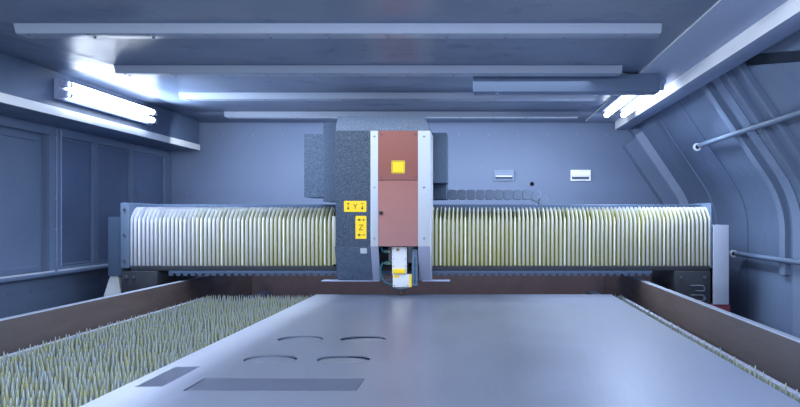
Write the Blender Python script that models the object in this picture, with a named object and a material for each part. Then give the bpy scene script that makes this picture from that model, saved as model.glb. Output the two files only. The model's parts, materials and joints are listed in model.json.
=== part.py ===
"""Fiber laser cutting machine inside its own cabin.

X runs across the machine, Y along its length towards the rear wall, Z up.
The origin lies on the floor in the middle of the footprint. Lengths are metres.
"""
import math

import bmesh
import bpy
from mathutils import Matrix, Vector

# Clearances
GAP = 0.0003            # between two pieces that meet
RUNNING_GAP = 0.0006    # between a sliding piece and its guide
WELD = 0.002            # how far a welded member reaches into its neighbour
SHEET = 0.003           # wall of folded covers

# Overall
OUTER_LENGTH = 4.88
OUTER_WIDTH = 3.18
CEILING_CLEARANCE = 0.124   # above the carriage's top cover
ROOF_THICKNESS = 0.035
WALL_THICKNESS = 0.03
WALL_SIDE_REACH = 0.07   # the door handle on the left and the cable duct on the right
WALL_FOOT_HEIGHT = 0.12

# Slanted upper part of the right wall
RIGHT_SLANT_RISE = 0.4824
RIGHT_SLANT_RUN = 0.3274
RIGHT_BEND_RADIUS = 0.40
RIGHT_BEND_STEPS = 6

# Front portal and its lifting door
PORTAL_DEPTH = 0.08
DOOR_GUIDE_DEPTH = 0.04
DOOR_GUIDE_WIDTH = 0.04
PORTAL_JAMB = 0.27
PORTAL_SILL_HEIGHT = 0.80
PORTAL_LINTEL = 0.305
FRONT_DOOR_THICKNESS = 0.034
FRONT_DOOR_HEIGHT = 0.74
FRONT_DOOR_OVERLAP = 0.04
FRONT_DOOR_PARKED = 0.04
DOOR_FIELD_DEPTH = 0.010
DOOR_FIELD_MARGIN = 0.08

# Rear wall and its two pull handles
REAR_WALL_THICKNESS = 0.04
REAR_OPENING_HALF_WIDTH = 0.90
REAR_OPENING_TOP = 0.62
PULL_HANDLE_X = (0.430, 0.872)
PULL_HANDLE_HEIGHT = 1.5205
PULL_HANDLE_WIDTH = 0.116
PULL_HANDLE_TALL = 0.063
PULL_HANDLE_DEPTH = 0.012

# Left wall, its window fields and its sliding door
LEFT_RIM_HEIGHT = 1.05
LEFT_RIM_REACH = 0.02
LEFT_RIM_THICKNESS = 0.015
LEFT_OPENING = (-0.90, 0.85)
LEFT_HEADER = 0.205
LEFT_FIELDS = ((-2.20, -1.60), (-1.54, -1.00), (0.96, 1.27), (1.33, 1.71), (1.75, 2.22))
LEFT_FIELD_BOTTOM = 1.07
LEFT_FIELD_DEPTH = 0.012
SIDE_DOOR_LAP = 0.05
SIDE_DOOR_THICKNESS = 0.03
SIDE_RAIL_DEPTH = 0.034
SIDE_RAIL_HEIGHT = 0.03
SIDE_RAIL_FRONT = -2.30

# Right wall, its door and its guard rods
RIGHT_DOOR_REAR = 0.42
RIGHT_SKIRT_TOP = 1.05
RIGHT_MIDDLE_RIB = (0.62, 0.69)
RIGHT_CORNER_RIB_WIDTH = 0.10
RIB_DEPTH = 0.02
CORNER_RIB_DEPTH = 0.035
DOOR_RIBS = ((0.17, 0.20), (0.33, 0.37))
CABLE_DUCT_BOTTOM = 0.20
CABLE_DUCT_TOP = 0.50
ROD_RADIUS = 0.010
ROD_COLLAR_RADIUS = 0.018
ROD_COLLAR_LENGTH = 0.012
ROD_STAND_OFF = 0.034
UPPER_ROD_DROP = 0.225
UPPER_ROD_END = 1.17
LOWER_ROD_HEIGHT = 1.112
LOWER_ROD_END = 1.23
ROD_BRACKET_INSET = 0.05

# Ceiling ribs, sensor beam and lamps
CEILING_RIB_COUNT = 6
CEILING_RIB_FIRST = -1.684
CEILING_RIB_PITCH = 0.70
CEILING_RIB_DEPTH = 0.028
CEILING_RIB_FOOT = 0.11
CEILING_RIB_FACE = 0.075
CEILING_RIB_LEFT = -1.03
CEILING_RIB_RIGHT = 0.80
SENSOR_BEAM_X = (0.261, 0.966)
SENSOR_BEAM_FRONT = 0.523
SENSOR_BEAM_DEPTH = 0.10
SENSOR_BEAM_HEIGHT = 0.0684
SENSOR_X = 0.355
SENSOR_RADIUS = 0.010
LEFT_LAMP_RAIL_X = -1.2916
LEFT_LAMP_RAIL_DROP = 0.169
LEFT_LAMP_RAIL_FACE = 0.033
LEFT_LAMP_RAIL_STEP = 0.0084
RIGHT_LAMP_RAIL_X = 1.055
RIGHT_LAMP_RAIL_WIDTH = 0.076
RIGHT_LAMP_RAIL_DEPTH = 0.052
RIGHT_STRIP_X = 0.888
RIGHT_STRIP_THICKNESS = 0.006
LAMP_RAIL_END = 2.22
LAMP_LENGTH = 0.90
LAMP_RADIUS = 0.013
LAMP_TUBE_SPACING = 0.038
LAMP_CAP_LENGTH = 0.03
LAMP_BATTEN_WIDTH = 0.04
LAMP_BATTEN_DEPTH = 0.02
LAMP_STAND_OFF = 0.018
LEFT_LAMP_FRONT = 0.48
LEFT_LAMP_DROP = 0.068
RIGHT_LAMP_FRONT = 0.64
RIGHT_LAMP_X = (0.912, 0.994)

# Base frame
BEAM_WALL_CLEARANCE = 0.11
BEAM_WIDTH = 0.38
BEAM_BOTTOM = 0.10
BEAM_TOP = 0.80
BEAM_WALL = 0.03
BEAM_END_STEP = 0.005
BEAM_WEB_COUNT = 3
BEAM_WEB_THICKNESS = 0.02
CROSS_BEAM_DEPTH = 0.10
CROSS_BEAM_BOTTOM = 0.62
CROSS_BEAM_TOP = 0.78
LOWER_TIE_HEIGHT = 0.03
FOOT_RADIUS = 0.06
FOOT_STEM_RADIUS = 0.025
FOOT_PAD_HEIGHT = 0.02
FOOT_SIDES = 12
RAIL_OFFSET = 0.20
RAIL_WIDTH = 0.036
RAIL_HEIGHT = 0.025
RACK_OFFSET = 0.075
RACK_WIDTH = 0.03
RACK_HEIGHT = 0.03
LEDGE_MARGIN = 0.01
LEDGE_THICKNESS = 0.012
TRACK_INSET = 0.005
TRACK_HEIGHT = 0.055

# Guard plates beside the bed
GUARD_SETBACK = 0.02
GUARD_THICKNESS = 0.006
GUARD_TOP = 1.004
GUARD_LIP = 0.026
GUARD_FRONT = -2.25
GUARD_REAR = 2.15

# Pallet, slats and the sheet on them
PALLET_FRONT = -2.20
PALLET_REAR = 1.15
PALLET_CLEARANCE = 0.015
PALLET_BAR_WIDTH = 0.06
PALLET_BAR_HEIGHT = 0.035
PALLET_END_BAR = 0.05
SLAT_PITCH = 0.07
SLAT_THICKNESS = 0.003
SLAT_BODY = 0.047
TOOTH_HEIGHT = 0.041
TOOTH_PITCH = 0.226
WORK_SHEET_X = (-0.405, 0.845)
WORK_SHEET_Y = (-2.05, 0.95)
WORK_SHEET_THICKNESS = 0.004
CUT_OUT_RADIUS = 0.061
CUT_OUT_SIDES = 24
CUT_OUT_X = (-0.197, -0.029)
CUT_OUT_Y = (-0.80, -0.453)

# Scrap drawer
DRAWER_BEAM_CLEARANCE = 0.14
DRAWER_FRONT = -2.15
DRAWER_HEIGHT = 0.45
DRAWER_WALL = 0.004
DRAWER_FACE_THICKNESS = 0.03
DRAWER_FACE_MARGIN = 0.006
DRAWER_HANDLE_REACH = 0.04
DRAWER_HANDLE_BAR = 0.014
DRAWER_HANDLE_LENGTH = 0.40

# Gantry
GANTRY_FRONT = 1.00
GANTRY_LEFT = -1.2143
GANTRY_RIGHT = 1.2776
BRIDGE_SETBACK = 0.16
BRIDGE_DEPTH = 0.30
BRIDGE_BOTTOM = 1.06
BRIDGE_TOP = 1.335
BRIDGE_WALL = 0.012
BRIDGE_RAIL_HEIGHTS = (1.11, 1.29)
BRIDGE_RAIL_WIDTH = 0.024
BRIDGE_RAIL_DEPTH = 0.03
BRIDGE_RACK_HEIGHT = 0.02
BRIDGE_RACK_DEPTH = 0.02
CHAIN_TRAY_X = (-0.02, 1.10)
CHAIN_TRAY_DEPTH = 0.10
CHAIN_TRAY_THICKNESS = 0.012
TRUCK_PLATE = 0.04
TRUCK_FRONT = 0.98
TRUCK_REAR = 1.56
TRUCK_OUTER_INSET = 0.02
TRUCK_INNER_INSET = 0.03
BEARING_HALF_WIDTH = 0.036
BEARING_LENGTH = 0.12
BEARING_SKIRT = 0.02
END_PLATE_LEFT = 0.0371
END_PLATE_RIGHT = 0.004
END_PLATE_FRONT_INSET = 0.015
END_PLATE_DEPTH = 0.495
END_PLATE_TOP = 1.34
SIDE_POST_WIDTH = 0.0593
SIDE_POST_DEPTH = 0.30
SIDE_POST_BOTTOM = 1.0256
SIDE_POST_TOP = 1.2795
GUSSET_DEPTH = 0.26
GUSSET_FOOT_LEFT = -1.3497
GUSSET_FOOT_RIGHT = -1.2550
GUSSET_HEAD_LEFT = -1.3107
GUSSET_HEAD_RIGHT = -1.2766
DRIVE_BOX_WIDTH = 0.155
DRIVE_BOX_DEPTH = 0.52
DRIVE_BOX_INSET = 0.005
RIGHT_COVER_WIDTH = 0.0685
RIGHT_COVER_TOP = 1.245
RIGHT_COVER_DEPTH = 0.55
STRIP_HEIGHT = 0.020
STRIP_BOTTOM = 1.048
TOOTHED_BOTTOM = 1.0256
TOOTHED_X = (-1.05, 1.03)
TOOTHED_PITCH = 0.031
TOOTHED_NOTCH = 0.010
TOOTHED_THICKNESS = 0.004

# Bellows
BELLOWS_BOTTOM = 1.0688
BELLOWS_SHOULDER = 1.2815
BELLOWS_TOP = 1.323
BELLOWS_CHAMFER = 0.075
BELLOWS_DEPTH = 0.128
BELLOWS_FOLD = 0.018
BELLOWS_WALL = 0.002
PLEAT_PITCH = 0.0207

# Cable chain
CHAIN_TOP = 1.3875
CHAIN_BEND_X = 0.54
CHAIN_BEND_RADIUS = 0.075
CHAIN_HALF_HEIGHT = 0.0245
CHAIN_WIDTH = 0.06
CHAIN_FIXED_X = 0.0
CHAIN_LINK = 0.045
CHAIN_NOTCH = 0.004
CHAIN_INSET = 0.025

# Carriage
CARRIAGE_LEFT = -0.3435
CARRIAGE_RIGHT = 0.0827
CARRIAGE_PLATE_FRONT = 1.075
CARRIAGE_PLATE = 0.03
CARRIAGE_BOTTOM = 1.075
CARRIAGE_TOP = 1.34
BEARING_PAD_WIDTH = 0.10
COLUMN_X = (-0.10, 0.02)
COLUMN_DEPTH = 0.09
COLUMN_TOP = 1.58
LIFT_RAIL_INSET = 0.015
LIFT_RAIL_HALF = 0.008
LIFT_RAIL_DEPTH = 0.0147
COVER_FRONT = 0.83
COVER_LEFT = -0.3058
COVER_BOTTOM = 1.158
COVER_TALL = 0.4753
TOP_COVER_BROW_RISE = 0.0677
COVER_REAR = 1.10
TOP_COVER_BROW_DEPTH = 0.06
TOP_COVER_LEAN = 0.028
STRIP_LEFT_X = (-0.162, -0.1311)
STRIP_RIGHT_X = 0.0333
STRIP_DEPTH = 0.015
SKIRT_BOTTOM = 1.0123
CROSSBAR_SEAM_LAP = 0.005
CROSSBAR_TOP_INSET = 0.0333
CROSSBAR_TALL = 0.02
CROSSBAR_DEPTH = 0.015
FRAME_WEB_X = (-0.06, -0.03)
FRAME_WEB_CLEARANCE = 0.065
PANEL_THICKNESS = 0.009
UPPER_PANEL_TALL = 0.2033
PANEL_SEAM = 0.002
LOCK_X = -0.1188
LOCK_RISE = 0.1376
LOCK_RADIUS = 0.008
LOCK_REACH = 0.009
SKIRT_LEFT = -0.3099
SKIRT_DEPTH = 0.15
SKIRT_LEAN = 0.087
SHIELD_X = (-0.3785, 0.1616)
SHIELD_Y = (0.905, 0.985)
SHIELD_THICKNESS = 0.004
SHIELD_CUT_X = (-0.135, 0.045)
SHIELD_CUT_REAR = 0.965
LEFT_BOX_X = (-0.487, -0.20)
LEFT_BOX_DEPTH = 0.24
LEFT_BOX_Z = (1.366, 1.645)
LEFT_BOX_STEP = -0.4033
LEFT_BOX_TALL_Z = (1.347, 1.698)
RIGHT_BOX_X = (-0.02, 0.142)
RIGHT_BOX_DEPTH = 0.22
RIGHT_BOX_Z = (1.430, 1.651)
CHAIN_ARM_X = (0.04, 0.133)
CHAIN_ARM_FRONT = 1.28

# Cutting head
HEAD_X = -0.045
HEAD_HALF_WIDTH = 0.030
HEAD_FRONT = 0.85
HEAD_BOTTOM = 1.0413
HEAD_TOP = 1.154
SLIDE_THICKNESS = 0.0297
SLIDE_BOTTOM = 1.085
SLIDE_TOP = 1.36
HEAD_LIFT = 0.115
CARTRIDGE_HALF_WIDTH = 0.0225
CARTRIDGE_BOTTOM = 1.0485
CARTRIDGE_TALL = 0.013
CARTRIDGE_LENGTH = 0.064
CARTRIDGE_LIP = 0.003
CARTRIDGE_LIP_DEPTH = 0.009
COLLIMATOR_RADIUS = 0.026
COLLIMATOR_TOP = 1.30
FIBRE_PLUG_RADIUS = 0.012
FIBRE_PLUG_TOP = 1.36
LOWER_BODY_X = (-0.0726, 0.0053)
LOWER_BODY_DEPTH = 0.08
LOWER_BODY_BOTTOM = 0.988
NOZZLE_X = -0.0398
NOZZLE_Y = 0.888
NOZZLE_STAND_OFF = 0.002
HOLDER_RADIUS = 0.033
HOLDER_NECK_RADIUS = 0.014
HOLDER_HEIGHT = 0.0215
NOZZLE_RADIUS = 0.011
NOZZLE_TIP_RADIUS = 0.003
NOZZLE_BORE_RADIUS = 0.0012
POST_WIDTH = 0.0243
POST_DEPTH = 0.04
POST_BOTTOM = 0.992
POST_TOP = 1.145
FITTING_RADIUS = 0.009
FITTING_LENGTH = 0.031
FITTING_INSET = 0.02
FITTING_HEIGHTS = (1.0866, 1.136)
HOSE_RADIUS = 0.004
CABLE_RADIUS = 0.003

# Places worked out from the sizes above
FRONT = -OUTER_LENGTH / 2
REAR = OUTER_LENGTH / 2
PORTAL_FRONT = FRONT + DOOR_GUIDE_DEPTH
PORTAL_REAR = PORTAL_FRONT + PORTAL_DEPTH
REAR_FACE = REAR - DRAWER_HANDLE_REACH - DRAWER_FACE_THICKNESS
REAR_INNER = REAR_FACE - REAR_WALL_THICKNESS
WALL_OUTER = OUTER_WIDTH / 2 - WALL_SIDE_REACH
WALL_INNER = WALL_OUTER - WALL_THICKNESS
COVER_TOP = COVER_BOTTOM + COVER_TALL
COVER_PEAK = COVER_TOP + TOP_COVER_BROW_RISE
PANEL_SEAM_HEIGHT = COVER_TOP - UPPER_PANEL_TALL
LOCK_HEIGHT = COVER_BOTTOM + LOCK_RISE
CROSSBAR_HEIGHTS = (PANEL_SEAM_HEIGHT - CROSSBAR_SEAM_LAP, COVER_TOP - CROSSBAR_TOP_INSET)
CEILING_HEIGHT = COVER_PEAK + CEILING_CLEARANCE
RIGHT_BEND_HEIGHT = CEILING_HEIGHT - RIGHT_SLANT_RISE
WALL_FRONT = PORTAL_REAR + GAP
WALL_REAR = REAR_INNER - GAP
PORTAL_OPENING_HALF = WALL_OUTER - PORTAL_JAMB
PORTAL_OPENING_TOP = CEILING_HEIGHT - PORTAL_LINTEL
LEFT_OPENING_TOP = CEILING_HEIGHT - LEFT_HEADER
UPPER_ROD_HEIGHT = CEILING_HEIGHT - UPPER_ROD_DROP
LEFT_LAMP_RAIL_BOTTOM = CEILING_HEIGHT - LEFT_LAMP_RAIL_DROP
LEFT_LAMP_HEIGHT = CEILING_HEIGHT - LEFT_LAMP_DROP
ROOF_BOTTOM = CEILING_HEIGHT + GAP
ROOF_TOP = ROOF_BOTTOM + ROOF_THICKNESS
SLANT_TOP_X = WALL_INNER - RIGHT_SLANT_RUN
BEAM_OUTER = WALL_INNER - BEAM_WALL_CLEARANCE
BEAM_INNER = BEAM_OUTER - BEAM_WIDTH
RAIL_X = BEAM_INNER + RAIL_OFFSET
RACK_X = BEAM_INNER + RACK_OFFSET
GUARD_INNER = BEAM_INNER - GUARD_SETBACK
PALLET_BAR_OUTER = GUARD_INNER - PALLET_CLEARANCE
PALLET_BAR_INNER = PALLET_BAR_OUTER - PALLET_BAR_WIDTH
TRACK_OUTER = PALLET_BAR_OUTER - TRACK_INSET
TRACK_INNER = PALLET_BAR_INNER + TRACK_INSET
LEDGE_INNER = TRACK_INNER - LEDGE_MARGIN
DRAWER_HALF_WIDTH = BEAM_INNER - DRAWER_BEAM_CLEARANCE
TRUCK_OUTER = BEAM_OUTER - TRUCK_OUTER_INSET
TRUCK_INNER = BEAM_INNER + TRUCK_INNER_INSET
BEAM_FRONT = WALL_FRONT
BEAM_REAR = WALL_REAR
TRACK_TOP = BEAM_TOP + TRACK_HEIGHT
PALLET_BOTTOM = TRACK_TOP + GAP
SLAT_TIP = PALLET_BOTTOM + SHEET + SLAT_BODY + TOOTH_HEIGHT
WORK_TOP = SLAT_TIP + GAP + WORK_SHEET_THICKNESS
NOZZLE_TIP = WORK_TOP + NOZZLE_STAND_OFF
RAIL_TOP = BEAM_TOP + RAIL_HEIGHT
TRUCK_BOTTOM = BEAM_TOP + RAIL_HEIGHT + 0.04
TRUCK_TOP = TRUCK_BOTTOM + TRUCK_PLATE
BRIDGE_FRONT = GANTRY_FRONT + BRIDGE_SETBACK
BRIDGE_REAR = BRIDGE_FRONT + BRIDGE_DEPTH
BRIDGE_RAIL_FRONT = BRIDGE_FRONT - BRIDGE_RAIL_DEPTH
CHAIN_LOW = CHAIN_TOP - 2 * CHAIN_BEND_RADIUS
CHAIN_FRONT = BRIDGE_REAR + CHAIN_INSET
CHAIN_REAR = CHAIN_FRONT + CHAIN_WIDTH
COLUMN_FRONT = CARRIAGE_PLATE_FRONT - COLUMN_DEPTH
LIFT_RAIL_FRONT = COLUMN_FRONT - LIFT_RAIL_DEPTH
SLIDE_REAR = LIFT_RAIL_FRONT - GAP
SLIDE_FRONT = SLIDE_REAR - SLIDE_THICKNESS
HEAD_REAR = SLIDE_FRONT - GAP
FRAME_WEB_HEIGHT = SLIDE_TOP + HEAD_LIFT + FRAME_WEB_CLEARANCE
LOWER_TIE_TOP = BEAM_BOTTOM + LOWER_TIE_HEIGHT


def clear_scene():
    for thing in list(bpy.data.objects):
        bpy.data.objects.remove(thing, do_unlink=True)


# Finishes

def finish(name, colour, roughness, metallic):
    """A painted or bare surface, made once and shared."""
    made = bpy.data.materials.get(name)
    if made is None:
        made = bpy.data.materials.new(name)
        made.use_nodes = True
        shader = made.node_tree.nodes["Principled BSDF"]
        shader.inputs["Base Color"].default_value = (*colour, 1)
        shader.inputs["Roughness"].default_value = roughness
        shader.inputs["Metallic"].default_value = metallic
        made.diffuse_color = (*colour, 1)
    return made


def cabin_paint():
    return finish("cabin paint", (0.16, 0.21, 0.36), 0.55, 0.1)


def light_grey_paint():
    return finish("light grey paint", (0.45, 0.50, 0.66), 0.45, 0.1)


def frame_paint():
    return finish("frame paint", (0.09, 0.10, 0.16), 0.5, 0.2)


def guard_steel():
    return finish("guard steel", (0.11, 0.08, 0.10), 0.7, 0.5)


def slat_steel():
    return finish("slat steel", (0.17, 0.19, 0.16), 0.6, 0.7)


def work_steel():
    return finish("work steel", (0.36, 0.38, 0.52), 0.3, 0.9)


def bellows_cloth():
    return finish("bellows cloth", (0.55, 0.57, 0.60), 0.5, 0.0)


def cover_paint():
    return finish("cover paint", (0.07, 0.09, 0.15), 0.5, 0.1)


def white_paint():
    return finish("white paint", (0.62, 0.68, 0.80), 0.4, 0.0)


def red_paint():
    return finish("red paint", (0.46, 0.10, 0.08), 0.45, 0.0)


def dark_red_paint():
    return finish("dark red paint", (0.22, 0.03, 0.05), 0.5, 0.0)


def bright_steel():
    return finish("bright steel", (0.60, 0.62, 0.68), 0.3, 1.0)


def black_plastic():
    return finish("black plastic", (0.03, 0.03, 0.04), 0.6, 0.0)


def lamp_glass():
    return finish("lamp glass", (0.9, 0.93, 1.0), 0.2, 0.0)


def yellow_paint():
    return finish("yellow paint", (0.75, 0.55, 0.05), 0.5, 0.0)


def copper_alloy():
    return finish("copper alloy", (0.60, 0.35, 0.18), 0.3, 1.0)


def teal_plastic():
    return finish("teal plastic", (0.05, 0.22, 0.30), 0.4, 0.0)


# Shapes, in world places

def prism(outline, axis, low, high):
    """An outline drawn across one axis and run along it from low to high."""
    place = {
        "X": lambda u, v, w: (w, u, v),
        "Y": lambda u, v, w: (u, w, v),
        "Z": lambda u, v, w: (u, v, w),
    }[axis]
    shape = bmesh.new()
    near = [shape.verts.new(place(u, v, low)) for u, v in outline]
    far = [shape.verts.new(place(u, v, high)) for u, v in outline]
    shape.faces.new(near)
    shape.faces.new(list(reversed(far)))
    for i in range(len(outline)):
        j = (i + 1) % len(outline)
        shape.faces.new((near[j], near[i], far[i], far[j]))
    bmesh.ops.recalc_face_normals(shape, faces=shape.faces)
    return shape


def block(x, y, z):
    outline = [(x[0], y[0]), (x[1], y[0]), (x[1], y[1]), (x[0], y[1])]
    return prism(outline, "Z", z[0], z[1])


def turned(profile, base, direction=(0, 0, 1), sides=20, bore=0.0):
    """A round piece: profile is (radius, distance from base) from one end to the other."""
    shape = bmesh.new()
    rings = []
    for radius, along in profile:
        rings.append([
            shape.verts.new((
                radius * math.cos(2 * math.pi * k / sides),
                radius * math.sin(2 * math.pi * k / sides),
                along,
            ))
            for k in range(sides)
        ])
    loops = list(rings)
    if bore:
        ends = (profile[-1][1], profile[0][1])
        for along in ends:
            loops.append([
                shape.verts.new((
                    bore * math.cos(2 * math.pi * k / sides),
                    bore * math.sin(2 * math.pi * k / sides),
                    along,
                ))
                for k in range(sides)
            ])
        loops.append(rings[0])
    else:
        shape.faces.new(list(reversed(rings[0])))
        shape.faces.new(rings[-1])
    for low, high in zip(loops, loops[1:]):
        for k in range(sides):
            n = (k + 1) % sides
            shape.faces.new((low[k], low[n], high[n], high[k]))
    bmesh.ops.recalc_face_normals(shape, faces=shape.faces)
    turn = Vector((0, 0, 1)).rotation_difference(Vector(direction).normalized())
    bmesh.ops.transform(
        shape,
        matrix=Matrix.Translation(Vector(base)) @ turn.to_matrix().to_4x4(),
        verts=shape.verts,
    )
    return shape


def together(shapes):
    """Several shapes that don't meet, as one mesh, for cutting or welding in one go."""
    whole = bmesh.new()
    for shape in shapes:
        part = bpy.data.meshes.new("part")
        shape.to_mesh(part)
        whole.from_mesh(part)
        bpy.data.meshes.remove(part)
        shape.free()
    return whole


# Bodies and pieces

def moving_body(name, place, parent=None):
    """An empty on a joint's axis, which carries the pieces that move together."""
    carrier = bpy.data.objects.new(name, None)
    bpy.context.scene.collection.objects.link(carrier)
    carrier["world_place"] = place
    if parent is None:
        carrier.location = place
    else:
        carrier.parent = parent
        carrier.location = Vector(place) - Vector(parent["world_place"])
    return carrier


def mesh_object(name, shape, carrier):
    if carrier is not None:
        offset = -Vector(carrier["world_place"])
        bmesh.ops.translate(shape, vec=offset, verts=shape.verts)
    mesh = bpy.data.meshes.new(name)
    shape.to_mesh(mesh)
    shape.free()
    made = bpy.data.objects.new(name, mesh)
    bpy.context.scene.collection.objects.link(made)
    made.parent = carrier
    return made


def tool_object(name, shape, carrier):
    made = mesh_object(name, shape, carrier)
    made.hide_render = True
    made.display_type = "WIRE"
    return made


def piece(name, material, carrier, shape, welded=(), cut=(), smooth=False):
    """One named piece, with members welded to it and pockets cut from it."""
    made = mesh_object(name, shape, carrier)
    made.data.materials.append(material)
    if smooth:
        made.data.shade_smooth()
        made.data.set_sharp_from_angle(angle=math.radians(35))
    for number, member in enumerate(welded):
        tool = tool_object(f"{name}_member_{number}", member, carrier)
        tool.data.materials.append(material)
        step = made.modifiers.new(f"weld {number}", "BOOLEAN")
        step.operation = "UNION"
        step.object = tool
    for number, pocket in enumerate(cut):
        tool = tool_object(f"{name}_pocket_{number}", pocket, carrier)
        step = made.modifiers.new(f"cut {number}", "BOOLEAN")
        step.operation = "DIFFERENCE"
        step.object = tool
    return made


def tube_along(name, material, carrier, points, radius):
    """A hose or cable on a smooth curve through its points."""
    offset = Vector(carrier["world_place"])
    path = smooth_path([Vector(p) for p in points], 4)
    curve = bpy.data.curves.new(name, "CURVE")
    curve.dimensions = "3D"
    curve.bevel_depth = radius
    curve.bevel_resolution = 2
    curve.use_fill_caps = True
    line = curve.splines.new("POLY")
    line.points.add(len(path) - 1)
    for spot, point in zip(line.points, path):
        spot.co = (*(point - offset), 1)
    made = bpy.data.objects.new(name, curve)
    curve.materials.append(material)
    bpy.context.scene.collection.objects.link(made)
    made.parent = carrier
    return made


def smooth_path(points, steps):
    """One smooth curve through the points, straight at its two ends."""
    path = [points[0]]
    for a, b, c, d in zip(points, points[1:], points[2:], points[3:]):
        for k in range(steps):
            t = k / steps
            path.append(0.5 * (
                2 * b + (c - a) * t
                + (2 * a - 5 * b + 4 * c - d) * t * t
                + (3 * b - a - 3 * c + d) * t ** 3
            ))
    return [*path, points[-2], points[-1]]


# The right wall's bent section

def bent_line(offset, short=0.0):
    """Points up the right wall, offset outwards from its inner face."""
    foot = Vector((WALL_INNER, RIGHT_BEND_HEIGHT))
    head = Vector((SLANT_TOP_X, CEILING_HEIGHT))
    slope = (head - foot).normalized()
    outward = Vector((slope.y, -slope.x))
    turn = math.atan2(-slope.x, slope.y)
    reach = RIGHT_BEND_RADIUS * math.tan(turn / 2)
    centre = foot + Vector((-RIGHT_BEND_RADIUS, -reach))
    points = []
    for k in range(RIGHT_BEND_STEPS + 1):
        angle = turn * k / RIGHT_BEND_STEPS
        radius = RIGHT_BEND_RADIUS + offset
        points.append(centre + radius * Vector((math.cos(angle), math.sin(angle))))
    points.append(head + outward * offset - slope * short)
    return points


def bent_outline(bottom, inner, outer, short=0.0):
    """A closed outline between two offsets of the bent line, from a given height up."""
    inside = bent_line(inner, short)
    outside = bent_line(outer, short)
    line = [(WALL_INNER + inner, bottom)]
    line += [tuple(p) for p in inside]
    line += [tuple(p) for p in reversed(outside)]
    line.append((WALL_INNER + outer, bottom))
    return line


def end_wall_outline(bottom):
    """The cabin's section, for the front portal and the rear wall."""
    right = [tuple(p) for p in bent_line(WALL_THICKNESS)]
    return [(-WALL_OUTER, bottom), (WALL_OUTER, bottom), *right,
            (right[-1][0], ROOF_TOP), (-WALL_OUTER, ROOF_TOP)]


# Cabin

def side_beam(side):
    """One long beam with its ledge, pallet track, rack and rail, open to the outside."""
    web = BEAM_INNER + BEAM_WALL
    outline = [
        (BEAM_INNER, BEAM_BOTTOM), (BEAM_OUTER, BEAM_BOTTOM),
        (BEAM_OUTER, BEAM_BOTTOM + BEAM_WALL), (web, BEAM_BOTTOM + BEAM_WALL),
        (web, BEAM_TOP - BEAM_WALL), (BEAM_OUTER, BEAM_TOP - BEAM_WALL),
        (BEAM_OUTER, BEAM_TOP),
    ]
    for middle, width, height in ((RAIL_X, RAIL_WIDTH, RAIL_HEIGHT),
                                  (RACK_X, RACK_WIDTH, RACK_HEIGHT)):
        outline += [(middle + width / 2, BEAM_TOP), (middle + width / 2, BEAM_TOP + height),
                    (middle - width / 2, BEAM_TOP + height), (middle - width / 2, BEAM_TOP)]
    outline += [
        (TRACK_OUTER, BEAM_TOP), (TRACK_OUTER, TRACK_TOP),
        (TRACK_INNER, TRACK_TOP), (TRACK_INNER, BEAM_TOP),
        (LEDGE_INNER, BEAM_TOP), (LEDGE_INNER, BEAM_TOP - LEDGE_THICKNESS),
        (BEAM_INNER, BEAM_TOP - LEDGE_THICKNESS),
    ]
    return prism([(side * x, z) for x, z in outline], "Y", BEAM_FRONT, BEAM_REAR)


def base_frame():
    front = BEAM_FRONT + BEAM_END_STEP
    rear = BEAM_REAR - BEAM_END_STEP
    members = [side_beam(-1)]
    webs = []
    feet = []
    spacing = (rear - front - BEAM_WEB_THICKNESS) / (BEAM_WEB_COUNT - 1)
    profile = [(FOOT_RADIUS, 0), (FOOT_RADIUS, FOOT_PAD_HEIGHT),
               (FOOT_STEM_RADIUS, FOOT_PAD_HEIGHT), (FOOT_STEM_RADIUS, BEAM_BOTTOM + WELD)]
    for side in (-1, 1):
        near = side * (BEAM_INNER + BEAM_WALL - WELD)
        far = side * (BEAM_OUTER - BEAM_WALL)
        middle = side * (BEAM_INNER + BEAM_OUTER) / 2
        for number in range(BEAM_WEB_COUNT):
            start = front + number * spacing
            webs.append(block((min(near, far), max(near, far)), (start, start + BEAM_WEB_THICKNESS),
                              (BEAM_BOTTOM + BEAM_WALL - WELD, BEAM_TOP - BEAM_WALL + WELD)))
        for place in (front + FOOT_RADIUS, 0.0, rear - FOOT_RADIUS):
            feet.append(turned(profile, (middle, place, 0), sides=FOOT_SIDES))
    reach = BEAM_INNER + WELD
    ties = []
    for low in (front, rear - CROSS_BEAM_DEPTH):
        ends = (low, low + CROSS_BEAM_DEPTH)
        ties.append(block((-reach, reach), ends, (CROSS_BEAM_BOTTOM, CROSS_BEAM_TOP)))
        ties.append(block((-reach, reach), ends, (BEAM_BOTTOM + WELD, LOWER_TIE_TOP)))
    half = CROSS_BEAM_DEPTH / 2
    ties.append(block((-reach, reach), (-half, half), (BEAM_BOTTOM + WELD, LOWER_TIE_TOP)))
    members += [together(webs), together(feet), together(ties)]
    piece("base_frame", frame_paint(), None, side_beam(1), welded=members)


def guard_plate(name, side):
    inner = side * GUARD_INNER
    outer = side * (GUARD_INNER + GUARD_THICKNESS)
    lip = side * (GUARD_INNER + GUARD_LIP)
    foot = BEAM_TOP + GAP
    outline = [(inner, foot), (outer, foot), (outer, GUARD_TOP - SHEET),
               (lip, GUARD_TOP - SHEET), (lip, GUARD_TOP), (inner, GUARD_TOP)]
    piece(name, guard_steel(), None, prism(outline, "Y", GUARD_FRONT, GUARD_REAR))


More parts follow.
